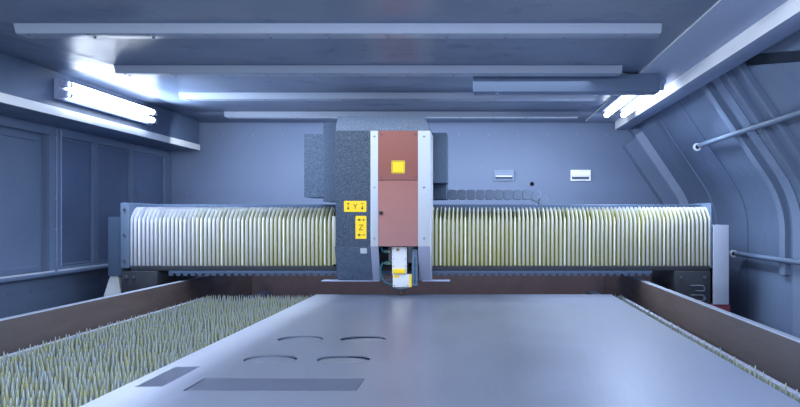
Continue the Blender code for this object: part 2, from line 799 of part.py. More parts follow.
def front_portal():
    half = PORTAL_OPENING_HALF
    guide_inner = half + FRONT_DOOR_OVERLAP + GAP
    guides = []
    for side in (-1, 1):
        x = tuple(sorted((side * guide_inner, side * (guide_inner + DOOR_GUIDE_WIDTH))))
        top = PORTAL_OPENING_TOP + FRONT_DOOR_OVERLAP
        guides.append(block(x, (FRONT, PORTAL_FRONT + WELD), (FRONT_DOOR_PARKED, top)))
    opening = block((-half, half), (PORTAL_FRONT - PORTAL_DEPTH, PORTAL_REAR + PORTAL_DEPTH),
                    (PORTAL_SILL_HEIGHT, PORTAL_OPENING_TOP))
    plate = prism(end_wall_outline(WALL_FOOT_HEIGHT), "Y", PORTAL_FRONT, PORTAL_REAR)
    piece("front_portal", cabin_paint(), None, plate, welded=guides, cut=[opening])


def front_door(carrier):
    half = PORTAL_OPENING_HALF + FRONT_DOOR_OVERLAP
    rear = PORTAL_FRONT - RUNNING_GAP
    front = rear - FRONT_DOOR_THICKNESS
    top = FRONT_DOOR_PARKED + FRONT_DOOR_HEIGHT
    slab = block((-half, half), (front, rear), (FRONT_DOOR_PARKED, top))
    low = FRONT_DOOR_PARKED + DOOR_FIELD_MARGIN
    high = top - DOOR_FIELD_MARGIN
    count = 3
    width = (2 * half - DOOR_FIELD_MARGIN) / count
    fields = []
    for number in range(count):
        left = -half + DOOR_FIELD_MARGIN + number * width
        right = left + width - DOOR_FIELD_MARGIN
        fields.append(block((left, right), (front - DOOR_FIELD_DEPTH, front + DOOR_FIELD_DEPTH),
                            (low, high)))
    piece("front_door", cabin_paint(), carrier, slab, cut=[together(fields)])


def rear_wall():
    plate = prism(end_wall_outline(WALL_FOOT_HEIGHT), "Y", REAR_INNER, REAR_FACE)
    below = WALL_FOOT_HEIGHT - WALL_THICKNESS
    opening = block((-REAR_OPENING_HALF_WIDTH, REAR_OPENING_HALF_WIDTH),
                    (REAR_INNER - WALL_THICKNESS, REAR_FACE + WALL_THICKNESS),
                    (below, REAR_OPENING_TOP))
    piece("rear_wall", cabin_paint(), None, plate, cut=[opening])


def pull_handle(name, middle):
    half = PULL_HANDLE_WIDTH / 2
    low = PULL_HANDLE_HEIGHT - PULL_HANDLE_TALL / 2
    rear = REAR_INNER - GAP
    front = rear - PULL_HANDLE_DEPTH
    plate = block((middle - half, middle + half), (front, rear), (low, low + PULL_HANDLE_TALL))
    rim = PULL_HANDLE_TALL / 8
    slot_top = low + PULL_HANDLE_TALL / 2
    slot = block((middle - half + rim, middle + half - rim),
                 (front - rim, rear - SHEET), (low + rim, slot_top))
    groove = block((middle - half + rim, middle + half - rim),
                   (front - rim, front + SHEET), (slot_top + rim, low + PULL_HANDLE_TALL - rim))
    piece(name, bright_steel(), None, plate, cut=[together([slot, groove])])


def left_wall():
    outer, inner = -WALL_OUTER, -WALL_INNER
    plate = block((outer, inner), (WALL_FRONT, WALL_REAR), (WALL_FOOT_HEIGHT, CEILING_HEIGHT))
    rim = block((inner - WELD, inner + LEFT_RIM_REACH), (WALL_FRONT, WALL_REAR),
                (LEFT_RIM_HEIGHT - LEFT_RIM_THICKNESS, LEFT_RIM_HEIGHT))
    rear_end = LEFT_OPENING[1] + SIDE_DOOR_LAP
    rails = []
    for bottom in (side_door_bottom() - GAP - SIDE_RAIL_HEIGHT, side_door_top() + GAP):
        rails.append(block((outer - SIDE_RAIL_DEPTH, outer + WELD),
                           (SIDE_RAIL_FRONT, rear_end), (bottom, bottom + SIDE_RAIL_HEIGHT)))
    opening = block((outer - WALL_THICKNESS, inner + WALL_THICKNESS), LEFT_OPENING,
                    (LEFT_RIM_HEIGHT, LEFT_OPENING_TOP))
    fields = [
        block((inner - LEFT_FIELD_DEPTH, inner + WALL_THICKNESS), span,
              (LEFT_FIELD_BOTTOM, LEFT_OPENING_TOP))
        for span in LEFT_FIELDS
    ]
    piece("left_wall", cabin_paint(), None, plate, welded=[rim, *rails],
          cut=[opening, together(fields)])


def side_door_bottom():
    return LEFT_RIM_HEIGHT - SIDE_DOOR_LAP


def side_door_top():
    return LEFT_OPENING_TOP + SIDE_DOOR_LAP


def left_door(carrier):
    near = -WALL_OUTER - RUNNING_GAP
    far = near - SIDE_DOOR_THICKNESS
    span = (LEFT_OPENING[0] - SIDE_DOOR_LAP, LEFT_OPENING[1] + SIDE_DOOR_LAP)
    slab = block((far, near), span, (side_door_bottom(), side_door_top()))
    middle = (span[0] + span[1]) / 2
    margin = DOOR_FIELD_MARGIN
    low, high = side_door_bottom() + margin, side_door_top() - margin
    fields = [
        block((near - DOOR_FIELD_DEPTH, near + DOOR_FIELD_DEPTH),
              (span[0] + margin, middle - margin / 2), (low, high)),
        block((near - DOOR_FIELD_DEPTH, near + DOOR_FIELD_DEPTH),
              (middle + margin / 2, span[1] - margin), (low, high)),
    ]
    edge = -OUTER_WIDTH / 2
    bar = 0.012
    start = span[0] + bar
    grip_low, grip_high = low + margin, high - margin
    grip = [(far + WELD, grip_low), (edge, grip_low), (edge, grip_high), (far + WELD, grip_high),
            (far + WELD, grip_high - bar), (edge + bar, grip_high - bar),
            (edge + bar, grip_low + bar), (far + WELD, grip_low + bar)]
    handle = prism(grip, "Y", start, start + 2 * bar)
    piece("left_door", cabin_paint(), carrier, slab, welded=[handle], cut=[together(fields)])


def right_wall():
    plate = prism(bent_outline(WALL_FOOT_HEIGHT, 0, WALL_THICKNESS), "Y", WALL_FRONT, WALL_REAR)
    doorway = block((SLANT_TOP_X - WALL_THICKNESS, WALL_OUTER + WALL_THICKNESS),
                    (WALL_FRONT - WALL_THICKNESS, RIGHT_DOOR_REAR + GAP),
                    (RIGHT_SKIRT_TOP, ROOF_TOP + WALL_THICKNESS))
    duct = block((WALL_OUTER - WELD, OUTER_WIDTH / 2), (WALL_FRONT + WELD, WALL_REAR - WELD),
                 (CABLE_DUCT_BOTTOM, CABLE_DUCT_TOP))
    rib = prism(bent_outline(RIGHT_SKIRT_TOP + WELD, -RIB_DEPTH, WELD, WELD), "Y",
                *RIGHT_MIDDLE_RIB)
    corner = prism(bent_outline(RIGHT_SKIRT_TOP + WELD, -CORNER_RIB_DEPTH, WELD, WELD), "Y",
                   WALL_REAR - RIGHT_CORNER_RIB_WIDTH, WALL_REAR - WELD)
    piece("right_wall", cabin_paint(), None, plate, welded=[duct, rib, corner], cut=[doorway])


def right_door(carrier):
    bottom = RIGHT_SKIRT_TOP + GAP
    panel = prism(bent_outline(bottom, 0, WALL_THICKNESS), "Y", WALL_FRONT + RUNNING_GAP,
                  RIGHT_DOOR_REAR)
    ribs = [
        prism(bent_outline(bottom + WELD, -RIB_DEPTH, WELD, WELD), "Y", *span)
        for span in DOOR_RIBS
    ]
    piece("right_door", cabin_paint(), carrier, panel, welded=[together(ribs)])


def rod(name, height, end):
    """A guard rod along the right wall, on stand-offs from the fixed panel."""
    middle, outward = rod_place(height)
    x = middle.x
    start = WALL_FRONT
    length = end - start
    profile = [(ROD_RADIUS, 0), (ROD_RADIUS, length - ROD_COLLAR_LENGTH),
               (ROD_COLLAR_RADIUS, length - ROD_COLLAR_LENGTH), (ROD_COLLAR_RADIUS, length)]
    bar = turned(profile, (x, start, height), direction=(0, 1, 0), sides=10)
    stand_offs = []
    for place in (RIGHT_DOOR_REAR + ROD_BRACKET_INSET, end - ROD_BRACKET_INSET):
        stem = [(ROD_RADIUS * 0.7, 0), (ROD_RADIUS * 0.7, ROD_STAND_OFF - GAP)]
        stand_offs.append(turned(stem, (x, place, height),
                                 direction=(outward.x, 0, outward.y), sides=8))
    piece(name, light_grey_paint(), None, bar, welded=[together(stand_offs)], smooth=True)


def rod_place(height):
    """A rod's middle at a height up the right wall, and the way out to the wall."""
    line = [Vector((WALL_INNER - ROD_STAND_OFF, WALL_FOOT_HEIGHT)), *bent_line(-ROD_STAND_OFF)]
    spans = list(zip(line, line[1:]))
    low, high = next((span for span in spans if height <= span[1].y), spans[-1])
    along = (high - low).normalized()
    return low.lerp(high, (height - low.y) / (high.y - low.y)), Vector((along.y, -along.x))


def rods():
    rod("rod_upper", UPPER_ROD_HEIGHT, UPPER_ROD_END)
    rod("rod_lower", LOWER_ROD_HEIGHT, LOWER_ROD_END)


def roof():
    right = SLANT_TOP_X - 0.008
    plate = block((-WALL_OUTER, right), (WALL_FRONT, WALL_REAR), (ROOF_BOTTOM, ROOF_TOP))
    ribs = []
    for number in range(CEILING_RIB_COUNT):
        middle = CEILING_RIB_FIRST + number * CEILING_RIB_PITCH
        low = CEILING_HEIGHT - CEILING_RIB_DEPTH
        outline = [(middle - CEILING_RIB_FACE / 2, low), (middle + CEILING_RIB_FACE / 2, low),
                   (middle + CEILING_RIB_FOOT / 2, ROOF_BOTTOM + WELD),
                   (middle - CEILING_RIB_FOOT / 2, ROOF_BOTTOM + WELD)]
        ribs.append(prism(outline, "X", CEILING_RIB_LEFT, CEILING_RIB_RIGHT))
    piece("roof", cabin_paint(), None, plate, welded=[together(ribs)])


def sensor_beam():
    top = CEILING_HEIGHT - RIGHT_STRIP_THICKNESS - GAP
    rear = SENSOR_BEAM_FRONT + SENSOR_BEAM_DEPTH
    beam = block(SENSOR_BEAM_X, (SENSOR_BEAM_FRONT, rear), (top - SENSOR_BEAM_HEIGHT, top))
    profile = [(SENSOR_RADIUS, -SENSOR_RADIUS / 2), (SENSOR_RADIUS, SENSOR_RADIUS + WELD)]
    eye = turned(profile, (SENSOR_X, SENSOR_BEAM_FRONT + 2 * SENSOR_RADIUS,
                           top - SENSOR_BEAM_HEIGHT - SENSOR_RADIUS / 2), sides=12)
    piece("sensor_beam", cabin_paint(), None, beam, welded=[eye])


def lamp_rail_left():
    x = LEFT_LAMP_RAIL_X
    low = LEFT_LAMP_RAIL_BOTTOM
    face = low + LEFT_LAMP_RAIL_FACE
    step = x - LEFT_LAMP_RAIL_STEP
    wall = -WALL_INNER + GAP
    outline = [(x, low), (x, face), (step, face), (step, CEILING_HEIGHT),
               (step - SHEET, CEILING_HEIGHT), (step - SHEET, face - SHEET),
               (x - SHEET, face - SHEET), (x - SHEET, low + SHEET),
               (wall, low + SHEET), (wall, low)]
    piece("lamp_rail_left", light_grey_paint(), None, prism(outline, "Y", WALL_FRONT, LAMP_RAIL_END))


def lamp_rail_right():
    x = RIGHT_LAMP_RAIL_X
    far = x + RIGHT_LAMP_RAIL_WIDTH
    top = CEILING_HEIGHT
    low = top - RIGHT_LAMP_RAIL_DEPTH
    strip = top - RIGHT_STRIP_THICKNESS
    outline = [(RIGHT_STRIP_X, top), (RIGHT_STRIP_X, strip), (x, strip), (x, low), (far, low),
               (far, top), (far - SHEET, top), (far - SHEET, low + SHEET),
               (x + SHEET, low + SHEET), (x + SHEET, top)]
    piece("lamp_rail_right", light_grey_paint(), None,
          prism(outline, "Y", WALL_FRONT, LAMP_RAIL_END))


def lamp(name, seat, front, direction, tubes=1):
    """A lamp: batten on its seat, and one or two tubes, each between two sockets."""
    away = Vector(direction)
    side = Vector((away.z, 0, away.x))
    length = LAMP_LENGTH + 2 * LAMP_CAP_LENGTH
    seat = Vector(seat) + away * GAP

    def slab(near, far, half, low, high, shift=0.0):
        a = seat + away * near + side * (shift - half)
        b = seat + away * far + side * (shift + half)
        x = tuple(sorted((a.x, b.x)))
        z = tuple(sorted((a.z, b.z)))
        return block(x, (low, high), z)

    shifts = [(n - (tubes - 1) / 2) * LAMP_TUBE_SPACING for n in range(tubes)]
    half = LAMP_BATTEN_WIDTH / 2 + shifts[-1]
    reach = LAMP_BATTEN_DEPTH + LAMP_STAND_OFF
    batten = slab(0, LAMP_BATTEN_DEPTH, half, front, front + length)
    sockets = [
        slab(LAMP_BATTEN_DEPTH - WELD, reach + LAMP_RADIUS / 2, LAMP_RADIUS, low,
             low + LAMP_CAP_LENGTH, shift)
        for low in (front, front + length - LAMP_CAP_LENGTH) for shift in shifts
    ]
    start = front + LAMP_CAP_LENGTH - WELD
    profile = [(LAMP_RADIUS, 0), (LAMP_RADIUS, LAMP_LENGTH + 2 * WELD)]
    glass = []
    for shift in shifts:
        middle = seat + away * reach + side * shift
        glass.append(turned(profile, (middle.x, start, middle.z), direction=(0, 1, 0), sides=14))
    piece(name, lamp_glass(), None, batten, welded=[together(sockets), together(glass)])


def lamps():
    seat_x = LEFT_LAMP_RAIL_X - LEFT_LAMP_RAIL_STEP
    lamp("lamp_left", (seat_x, 0, LEFT_LAMP_HEIGHT), LEFT_LAMP_FRONT, (1, 0, 0), tubes=2)
    seat_z = CEILING_HEIGHT - RIGHT_STRIP_THICKNESS
    for name, x in zip(("lamp_right_inner", "lamp_right_outer"), RIGHT_LAMP_X):
        lamp(name, (x, 0, seat_z), RIGHT_LAMP_FRONT, (0, 0, -1))


# Bed

def pallet(carrier):
    bars = []
    top = PALLET_BOTTOM + PALLET_BAR_HEIGHT
    length = (PALLET_FRONT, PALLET_REAR)
    left = block((-PALLET_BAR_OUTER, -PALLET_BAR_INNER), length, (PALLET_BOTTOM, top))
    bars.append(block((PALLET_BAR_INNER, PALLET_BAR_OUTER), length, (PALLET_BOTTOM, top)))
    reach = PALLET_BAR_INNER + WELD
    for low in (PALLET_FRONT, PALLET_REAR - PALLET_END_BAR):
        bars.append(block((-reach, reach), (low, low + PALLET_END_BAR), (PALLET_BOTTOM, top)))
    piece("pallet", slat_steel(), carrier, left, welded=[*bars, slats()])


def slats():
    """The upright slats, their teeth pointing up, in a row along the pallet."""
    foot = PALLET_BOTTOM + SHEET
    root = foot + SLAT_BODY
    reach = PALLET_BAR_INNER + WELD
    teeth = round(2 * PALLET_BAR_INNER / TOOTH_PITCH)
    pitch = 2 * PALLET_BAR_INNER / teeth
    outline = [(-reach, foot), (reach, foot), (reach, root)]
    for number in reversed(range(teeth)):
        middle = -PALLET_BAR_INNER + (number + 0.5) * pitch
        outline.append((middle, root + TOOTH_HEIGHT))
        if number:
            outline.append((middle - pitch / 2, root))
    outline.append((-reach, root))
    first = PALLET_FRONT + PALLET_END_BAR + SLAT_PITCH / 2
    last = PALLET_REAR - PALLET_END_BAR - SLAT_PITCH / 2
    count = int((last - first) / SLAT_PITCH) + 1
    half = SLAT_THICKNESS / 2
    return together([
        prism(outline, "Y", first + n * SLAT_PITCH - half, first + n * SLAT_PITCH + half)
        for n in range(count)
    ])


def work_sheet(carrier):
    bottom = SLAT_TIP + GAP
    plate = block(WORK_SHEET_X, WORK_SHEET_Y, (bottom, WORK_TOP))
    holes = []
    for y in CUT_OUT_Y:
        for x in CUT_OUT_X:
            profile = [(CUT_OUT_RADIUS, 0), (CUT_OUT_RADIUS, 3 * WORK_SHEET_THICKNESS)]
            holes.append(turned(profile, (x, y, bottom - WORK_SHEET_THICKNESS),
                                sides=CUT_OUT_SIDES))
    piece("work_sheet", work_steel(), carrier, plate, cut=[together(holes)])


def scrap_drawer(carrier):
    low = LOWER_TIE_TOP + GAP
    wide = DRAWER_HALF_WIDTH
    face_front = REAR_FACE - WALL_THICKNESS
    tray = block((-wide, wide), (DRAWER_FRONT, face_front + WELD), (low, low + DRAWER_HEIGHT))
    inside = block((-wide + DRAWER_WALL, wide - DRAWER_WALL),
                   (DRAWER_FRONT + DRAWER_WALL, face_front - DRAWER_WALL),
                   (low + DRAWER_WALL, low + 2 * DRAWER_HEIGHT))
    half = REAR_OPENING_HALF_WIDTH - DRAWER_FACE_MARGIN
    face = block((-half, half), (face_front, REAR_FACE + DRAWER_FACE_THICKNESS),
                 (low, REAR_OPENING_TOP - DRAWER_FACE_MARGIN))
    near = REAR_FACE + DRAWER_FACE_THICKNESS - WELD
    bar = DRAWER_HANDLE_BAR
    reach = DRAWER_HANDLE_LENGTH / 2
    grip = [(-reach, near), (-reach, REAR), (reach, REAR), (reach, near),
            (reach - bar, near), (reach - bar, REAR - bar), (bar - reach, REAR - bar),
            (bar - reach, near)]
    height = low + DRAWER_HEIGHT / 2
    handle = prism(grip, "Z", height, height + 2 * bar)
    piece("scrap_drawer", frame_paint(), carrier, tray, welded=[face, handle], cut=[inside])


# Gantry

def truck(name, material, carrier, side):
    """The end carriage that runs on one bed rail, with its two bearing blocks."""
    x = tuple(sorted((side * TRUCK_INNER, side * TRUCK_OUTER)))
    plate = block(x, (TRUCK_FRONT, TRUCK_REAR), (TRUCK_BOTTOM, TRUCK_TOP))
    half = BEARING_HALF_WIDTH
    slot = RAIL_WIDTH / 2 + RUNNING_GAP
    roof_z = RAIL_TOP + RUNNING_GAP
    foot = RAIL_TOP - BEARING_SKIRT
    middle = side * RAIL_X
    top = TRUCK_BOTTOM + WELD
    outline = [(middle - half, foot), (middle - slot, foot), (middle - slot, roof_z),
               (middle + slot, roof_z), (middle + slot, foot), (middle + half, foot),
               (middle + half, top), (middle - half, top)]
    bearings = [
        prism(outline, "Y", low, low + BEARING_LENGTH)
        for low in (TRUCK_FRONT + WELD, TRUCK_REAR - BEARING_LENGTH - WELD)
    ]
    piece(name, material, carrier, plate, welded=[together(bearings)])


def bridge_beam(carrier):
    span = (GANTRY_LEFT, GANTRY_RIGHT)
    beam = block(span, (BRIDGE_FRONT, BRIDGE_REAR), (BRIDGE_BOTTOM, BRIDGE_TOP))
    wall = BRIDGE_WALL
    hollow = block((GANTRY_LEFT - wall, GANTRY_RIGHT + wall),
                   (BRIDGE_FRONT + wall, BRIDGE_REAR - wall),
                   (BRIDGE_BOTTOM + wall, BRIDGE_TOP - wall))
    half = BRIDGE_RAIL_WIDTH / 2
    rails = [
        block(span, (BRIDGE_RAIL_FRONT, BRIDGE_FRONT + WELD), (middle - half, middle + half))
        for middle in BRIDGE_RAIL_HEIGHTS
    ]
    middle = sum(BRIDGE_RAIL_HEIGHTS) / 2
    rack = block(span, (BRIDGE_FRONT - BRIDGE_RACK_DEPTH, BRIDGE_FRONT + WELD),
                 (middle - BRIDGE_RACK_HEIGHT / 2, middle + BRIDGE_RACK_HEIGHT / 2))
    tray_top = CHAIN_LOW - CHAIN_HALF_HEIGHT - GAP
    tray = block(CHAIN_TRAY_X, (BRIDGE_REAR - WELD, BRIDGE_REAR + CHAIN_TRAY_DEPTH),
                 (tray_top - CHAIN_TRAY_THICKNESS, tray_top))
    piece("bridge_beam", cabin_paint(), carrier, beam, welded=[*rails, rack, tray], cut=[hollow])


def gantry_ends(carrier):
    front = GANTRY_FRONT - END_PLATE_FRONT_INSET
    rear = front + END_PLATE_DEPTH
    right = GANTRY_LEFT - GAP
    left = right - END_PLATE_LEFT
    bottom = BRIDGE_BOTTOM
    plate = block((left, right), (front, rear), (bottom, END_PLATE_TOP))
    post = block((left - SIDE_POST_WIDTH, left + WELD), (GANTRY_FRONT, GANTRY_FRONT + SIDE_POST_DEPTH),
                 (SIDE_POST_BOTTOM, SIDE_POST_TOP))
    piece("left_end_plate", light_grey_paint(), carrier, plate, welded=[post])
    low = TRUCK_TOP + GAP
    high = SIDE_POST_BOTTOM - GAP
    outline = [(GUSSET_FOOT_LEFT, low), (GUSSET_FOOT_RIGHT, low),
               (GUSSET_HEAD_RIGHT, high), (GUSSET_HEAD_LEFT, high)]
    start = GANTRY_FRONT + 0.02
    piece("left_gusset", bright_steel(), carrier, prism(outline, "Y", start, start + GUSSET_DEPTH))
    start = GANTRY_RIGHT + GAP
    piece("right_end_plate", light_grey_paint(), carrier,
          block((start, start + END_PLATE_RIGHT), (front, rear), (bottom, END_PLATE_TOP)))


def drive_box(name, carrier, inner, outer):
    """The housed drive between a truck and the bridge, lower in front, under the strip."""
    front = TRUCK_FRONT + DRIVE_BOX_INSET
    step = BRIDGE_FRONT
    rear = front + DRIVE_BOX_DEPTH
    foot = TRUCK_TOP + GAP
    low = STRIP_BOTTOM - GAP
    high = BRIDGE_BOTTOM - GAP
    outline = [(front, foot), (rear, foot), (rear, high), (step, high), (step, low), (front, low)]
    piece(name, black_plastic(), carrier, prism(outline, "X", inner, outer))


def right_cover(carrier):
    left = GANTRY_RIGHT + 2 * GAP + END_PLATE_RIGHT
    x = (left, left + RIGHT_COVER_WIDTH)
    start = TRUCK_FRONT - 0.01
    z = (TRUCK_TOP + GAP, RIGHT_COVER_TOP)
    shell = block(x, (start, start + RIGHT_COVER_DEPTH), z)
    inside = block((left - SHEET, x[1] - SHEET), (start + SHEET, start + RIGHT_COVER_DEPTH - SHEET),
                   (z[0] - SHEET, z[1] - SHEET))
    piece("right_cover", white_paint(), carrier, shell, cut=[inside])


def lower_strips(carrier):
    span = (GANTRY_LEFT, GANTRY_RIGHT)
    top = STRIP_BOTTOM + STRIP_HEIGHT
    piece("lower_strip", black_plastic(), carrier,
          block(span, (GANTRY_FRONT, BRIDGE_FRONT - GAP), (STRIP_BOTTOM, top)))
    count = round((TOOTHED_X[1] - TOOTHED_X[0]) / TOOTHED_PITCH)
    pitch = (TOOTHED_X[1] - TOOTHED_X[0]) / count
    high = STRIP_BOTTOM - GAP
    notch = TOOTHED_BOTTOM + TOOTHED_NOTCH
    outline = [(TOOTHED_X[0], high)]
    for number in range(count):
        left = TOOTHED_X[0] + number * pitch
        outline += [(left, TOOTHED_BOTTOM), (left + pitch * 0.6, TOOTHED_BOTTOM),
                    (left + pitch * 0.6, notch), (left + pitch, notch)]
    outline.append((TOOTHED_X[1], high))
    piece("toothed_strip", bright_steel(), carrier,
          prism(outline, "Y", GANTRY_FRONT, GANTRY_FRONT + TOOTHED_THICKNESS))


def bellows(name, carrier, left, right):
    """A pleated cover on a flat lining, which folds in and out along X."""
    pleats = round((right - left) / PLEAT_PITCH)
    shape = bmesh.new()
    sections = []
    for number in range(2 * pleats + 1):
        x = left + (right - left) * number / (2 * pleats)
        fold = BELLOWS_FOLD if number % 2 else 0.0
        sections.append([shape.verts.new((x, y, z)) for y, z in bellows_line(fold)])
    lining = bellows_line(BELLOWS_FOLD + BELLOWS_WALL)
    near = [shape.verts.new((left, y, z)) for y, z in lining]
    far = [shape.verts.new((right, y, z)) for y, z in lining]
    for a, b in zip(sections, sections[1:]):
        for k in range(len(a) - 1):
            shape.faces.new((a[k], a[k + 1], b[k + 1], b[k]))
    for k in range(len(lining) - 1):
        shape.faces.new((near[k], far[k], far[k + 1], near[k + 1]))
    shape.faces.new([*sections[0], *reversed(near)])
    shape.faces.new([*reversed(sections[-1]), *far])
    for edge in (0, -1):
        shape.faces.new([*[row[edge] for row in sections], far[edge], near[edge]])
    bmesh.ops.recalc_face_normals(shape, faces=shape.faces)
    piece(name, bellows_cloth(), carrier, shape)


def bellows_line(inset):
    """The cover's section across Y and Z, from its foot up its face and over its top."""
    front = GANTRY_FRONT + inset
    top = BELLOWS_TOP - inset
    return [
        (front, BELLOWS_BOTTOM),
        (front, BELLOWS_SHOULDER - inset * 0.4),
        (GANTRY_FRONT + BELLOWS_CHAMFER + inset * 0.3, top),
        (GANTRY_FRONT + BELLOWS_DEPTH, top),
    ]


def chain_path():
    """Middle line of the cable chain from its moving end, round the bend, to its fixed end."""
    start = CHAIN_ARM_X[1] + GAP
    straight = CHAIN_BEND_X - start
    bend = math.pi * CHAIN_BEND_RADIUS
    back = CHAIN_BEND_X - CHAIN_FIXED_X
    total = straight + bend + back
    links = round(total / CHAIN_LINK)
    path = []
    for number in range(2 * links + 1):
        along = total * number / (2 * links)
        if along < straight:
            point, normal = (start + along, CHAIN_TOP), (0, 1)
        elif along < straight + bend:
            angle = (along - straight) / CHAIN_BEND_RADIUS
            normal = (math.sin(angle), math.cos(angle))
            point = (CHAIN_BEND_X + CHAIN_BEND_RADIUS * normal[0],
                     CHAIN_TOP - CHAIN_BEND_RADIUS + CHAIN_BEND_RADIUS * normal[1])
        else:
            point = (CHAIN_BEND_X - (along - straight - bend), CHAIN_LOW)
            normal = (0, -1)
        path.append((point, normal))
    return path


def cable_chain(carrier):
    outer, inner = [], []
    for number, ((x, z), (nx, nz)) in enumerate(chain_path()):
        half = CHAIN_HALF_HEIGHT - (CHAIN_NOTCH if number % 2 else 0)
        outer.append((x + nx * half, z + nz * half))
        inner.append((x - nx * half, z - nz * half))
    outline = outer + list(reversed(inner))
    piece("cable_chain", black_plastic(), carrier, prism(outline, "Y", CHAIN_FRONT, CHAIN_REAR))


# Carriage

def carriage_frame(carrier):
    rear = CARRIAGE_PLATE_FRONT + CARRIAGE_PLATE
    plate = block((CARRIAGE_LEFT, CARRIAGE_RIGHT), (CARRIAGE_PLATE_FRONT, rear),
                  (CARRIAGE_BOTTOM, CARRIAGE_TOP))
    column = block(COLUMN_X, (COLUMN_FRONT, CARRIAGE_PLATE_FRONT + WELD),
                   (CARRIAGE_BOTTOM, COLUMN_TOP))
    pads = []
    middle = (CARRIAGE_LEFT + CARRIAGE_RIGHT) / 2
    for height in BRIDGE_RAIL_HEIGHTS:
        for side in (-1, 1):
            x = middle + side * BEARING_PAD_WIDTH
            pads.append(block((x - BEARING_PAD_WIDTH / 2, x + BEARING_PAD_WIDTH / 2),
                              (rear - WELD, BRIDGE_RAIL_FRONT - RUNNING_GAP),
                              (height - BRIDGE_RAIL_WIDTH, height + BRIDGE_RAIL_WIDTH)))
    rails = []
    for x in (COLUMN_X[0] + LIFT_RAIL_INSET, COLUMN_X[1] - LIFT_RAIL_INSET):
        rails.append(block((x - LIFT_RAIL_HALF, x + LIFT_RAIL_HALF),
                           (LIFT_RAIL_FRONT, COLUMN_FRONT + WELD),
                           (CARRIAGE_BOTTOM + WELD, COLUMN_TOP - WELD)))
    piece("carriage_frame", frame_paint(), carrier, plate,
          welded=[column, together(pads), together(rails)])


def angle_sheet(name, material, carrier, corner, front_end, side_end, z, thickness=SHEET):
    """A sheet folded once round an upright corner: a front face and a side face."""
    x, y = corner
    inward = 1 if front_end > x else -1
    outline = [(x, y), (front_end, y), (front_end, y + thickness),
               (x + inward * thickness, y + thickness),
               (x + inward * thickness, side_end), (x, side_end)]
    piece(name, material, carrier, prism(outline, "Z", *z))


def cover_left(carrier):
    angle_sheet("cover_left", cover_paint(), carrier, (COVER_LEFT, COVER_FRONT),
                STRIP_LEFT_X[0] - GAP, CARRIAGE_PLATE_FRONT - GAP, (COVER_BOTTOM, COVER_TOP))


def left_skirt(carrier):
    """The lower cover at the left, whose front leans back towards its foot."""
    high = COVER_BOTTOM - GAP
    rear = COVER_FRONT + SKIRT_DEPTH
    side = [(COVER_FRONT, high), (COVER_FRONT + SKIRT_LEAN, SKIRT_BOTTOM),
            (rear, SKIRT_BOTTOM), (rear, high)]
    shell = prism(side, "X", SKIRT_LEFT, STRIP_LEFT_X[0] - GAP)
    inner = [(COVER_FRONT + SHEET, high + SHEET), (COVER_FRONT + SHEET, high),
             (COVER_FRONT + SKIRT_LEAN + SHEET, SKIRT_BOTTOM),
             (COVER_FRONT + SKIRT_LEAN + SHEET, SKIRT_BOTTOM - SHEET),
             (rear + SHEET, SKIRT_BOTTOM - SHEET), (rear + SHEET, high + SHEET)]
    inside = prism(inner, "X", SKIRT_LEFT + SHEET, STRIP_LEFT_X[0] + SHEET)
    piece("left_skirt", cover_paint(), carrier, shell, cut=[inside])


def top_cover(carrier):
    low = COVER_TOP + GAP
    rear_low = CARRIAGE_TOP + GAP
    step = CARRIAGE_PLATE_FRONT
    brow = COVER_FRONT + TOP_COVER_BROW_DEPTH
    outline = [(COVER_FRONT, low), (brow, COVER_PEAK), (COVER_REAR, COVER_PEAK),
               (COVER_REAR, rear_low), (step, rear_low), (step, low)]
    shell = prism(outline, "X", COVER_LEFT, CARRIAGE_RIGHT)
    inner_rear = COVER_REAR - SHEET
    inner_top = COVER_PEAK - SHEET
    fall = TOP_COVER_BROW_DEPTH * SHEET / (COVER_PEAK - low)
    inset = 1.5 * SHEET
    hollow = [(COVER_FRONT + inset - fall, low - SHEET), (brow + inset - fall, inner_top),
              (inner_rear, inner_top), (inner_rear, rear_low - SHEET),
              (step - 2 * SHEET, rear_low - SHEET), (step - 2 * SHEET, low - SHEET)]
    right = CARRIAGE_RIGHT
    inside = prism(hollow, "X", COVER_LEFT + SHEET, right - TOP_COVER_LEAN - SHEET)
    corner = prism([(right + SHEET, low), (right + SHEET, COVER_PEAK + SHEET),
                    (right - TOP_COVER_LEAN, COVER_PEAK + SHEET), (right, low)],
                   "Y", COVER_FRONT - SHEET, COVER_REAR + SHEET)
    piece("top_cover", light_grey_paint(), carrier, shell, cut=[inside, corner])


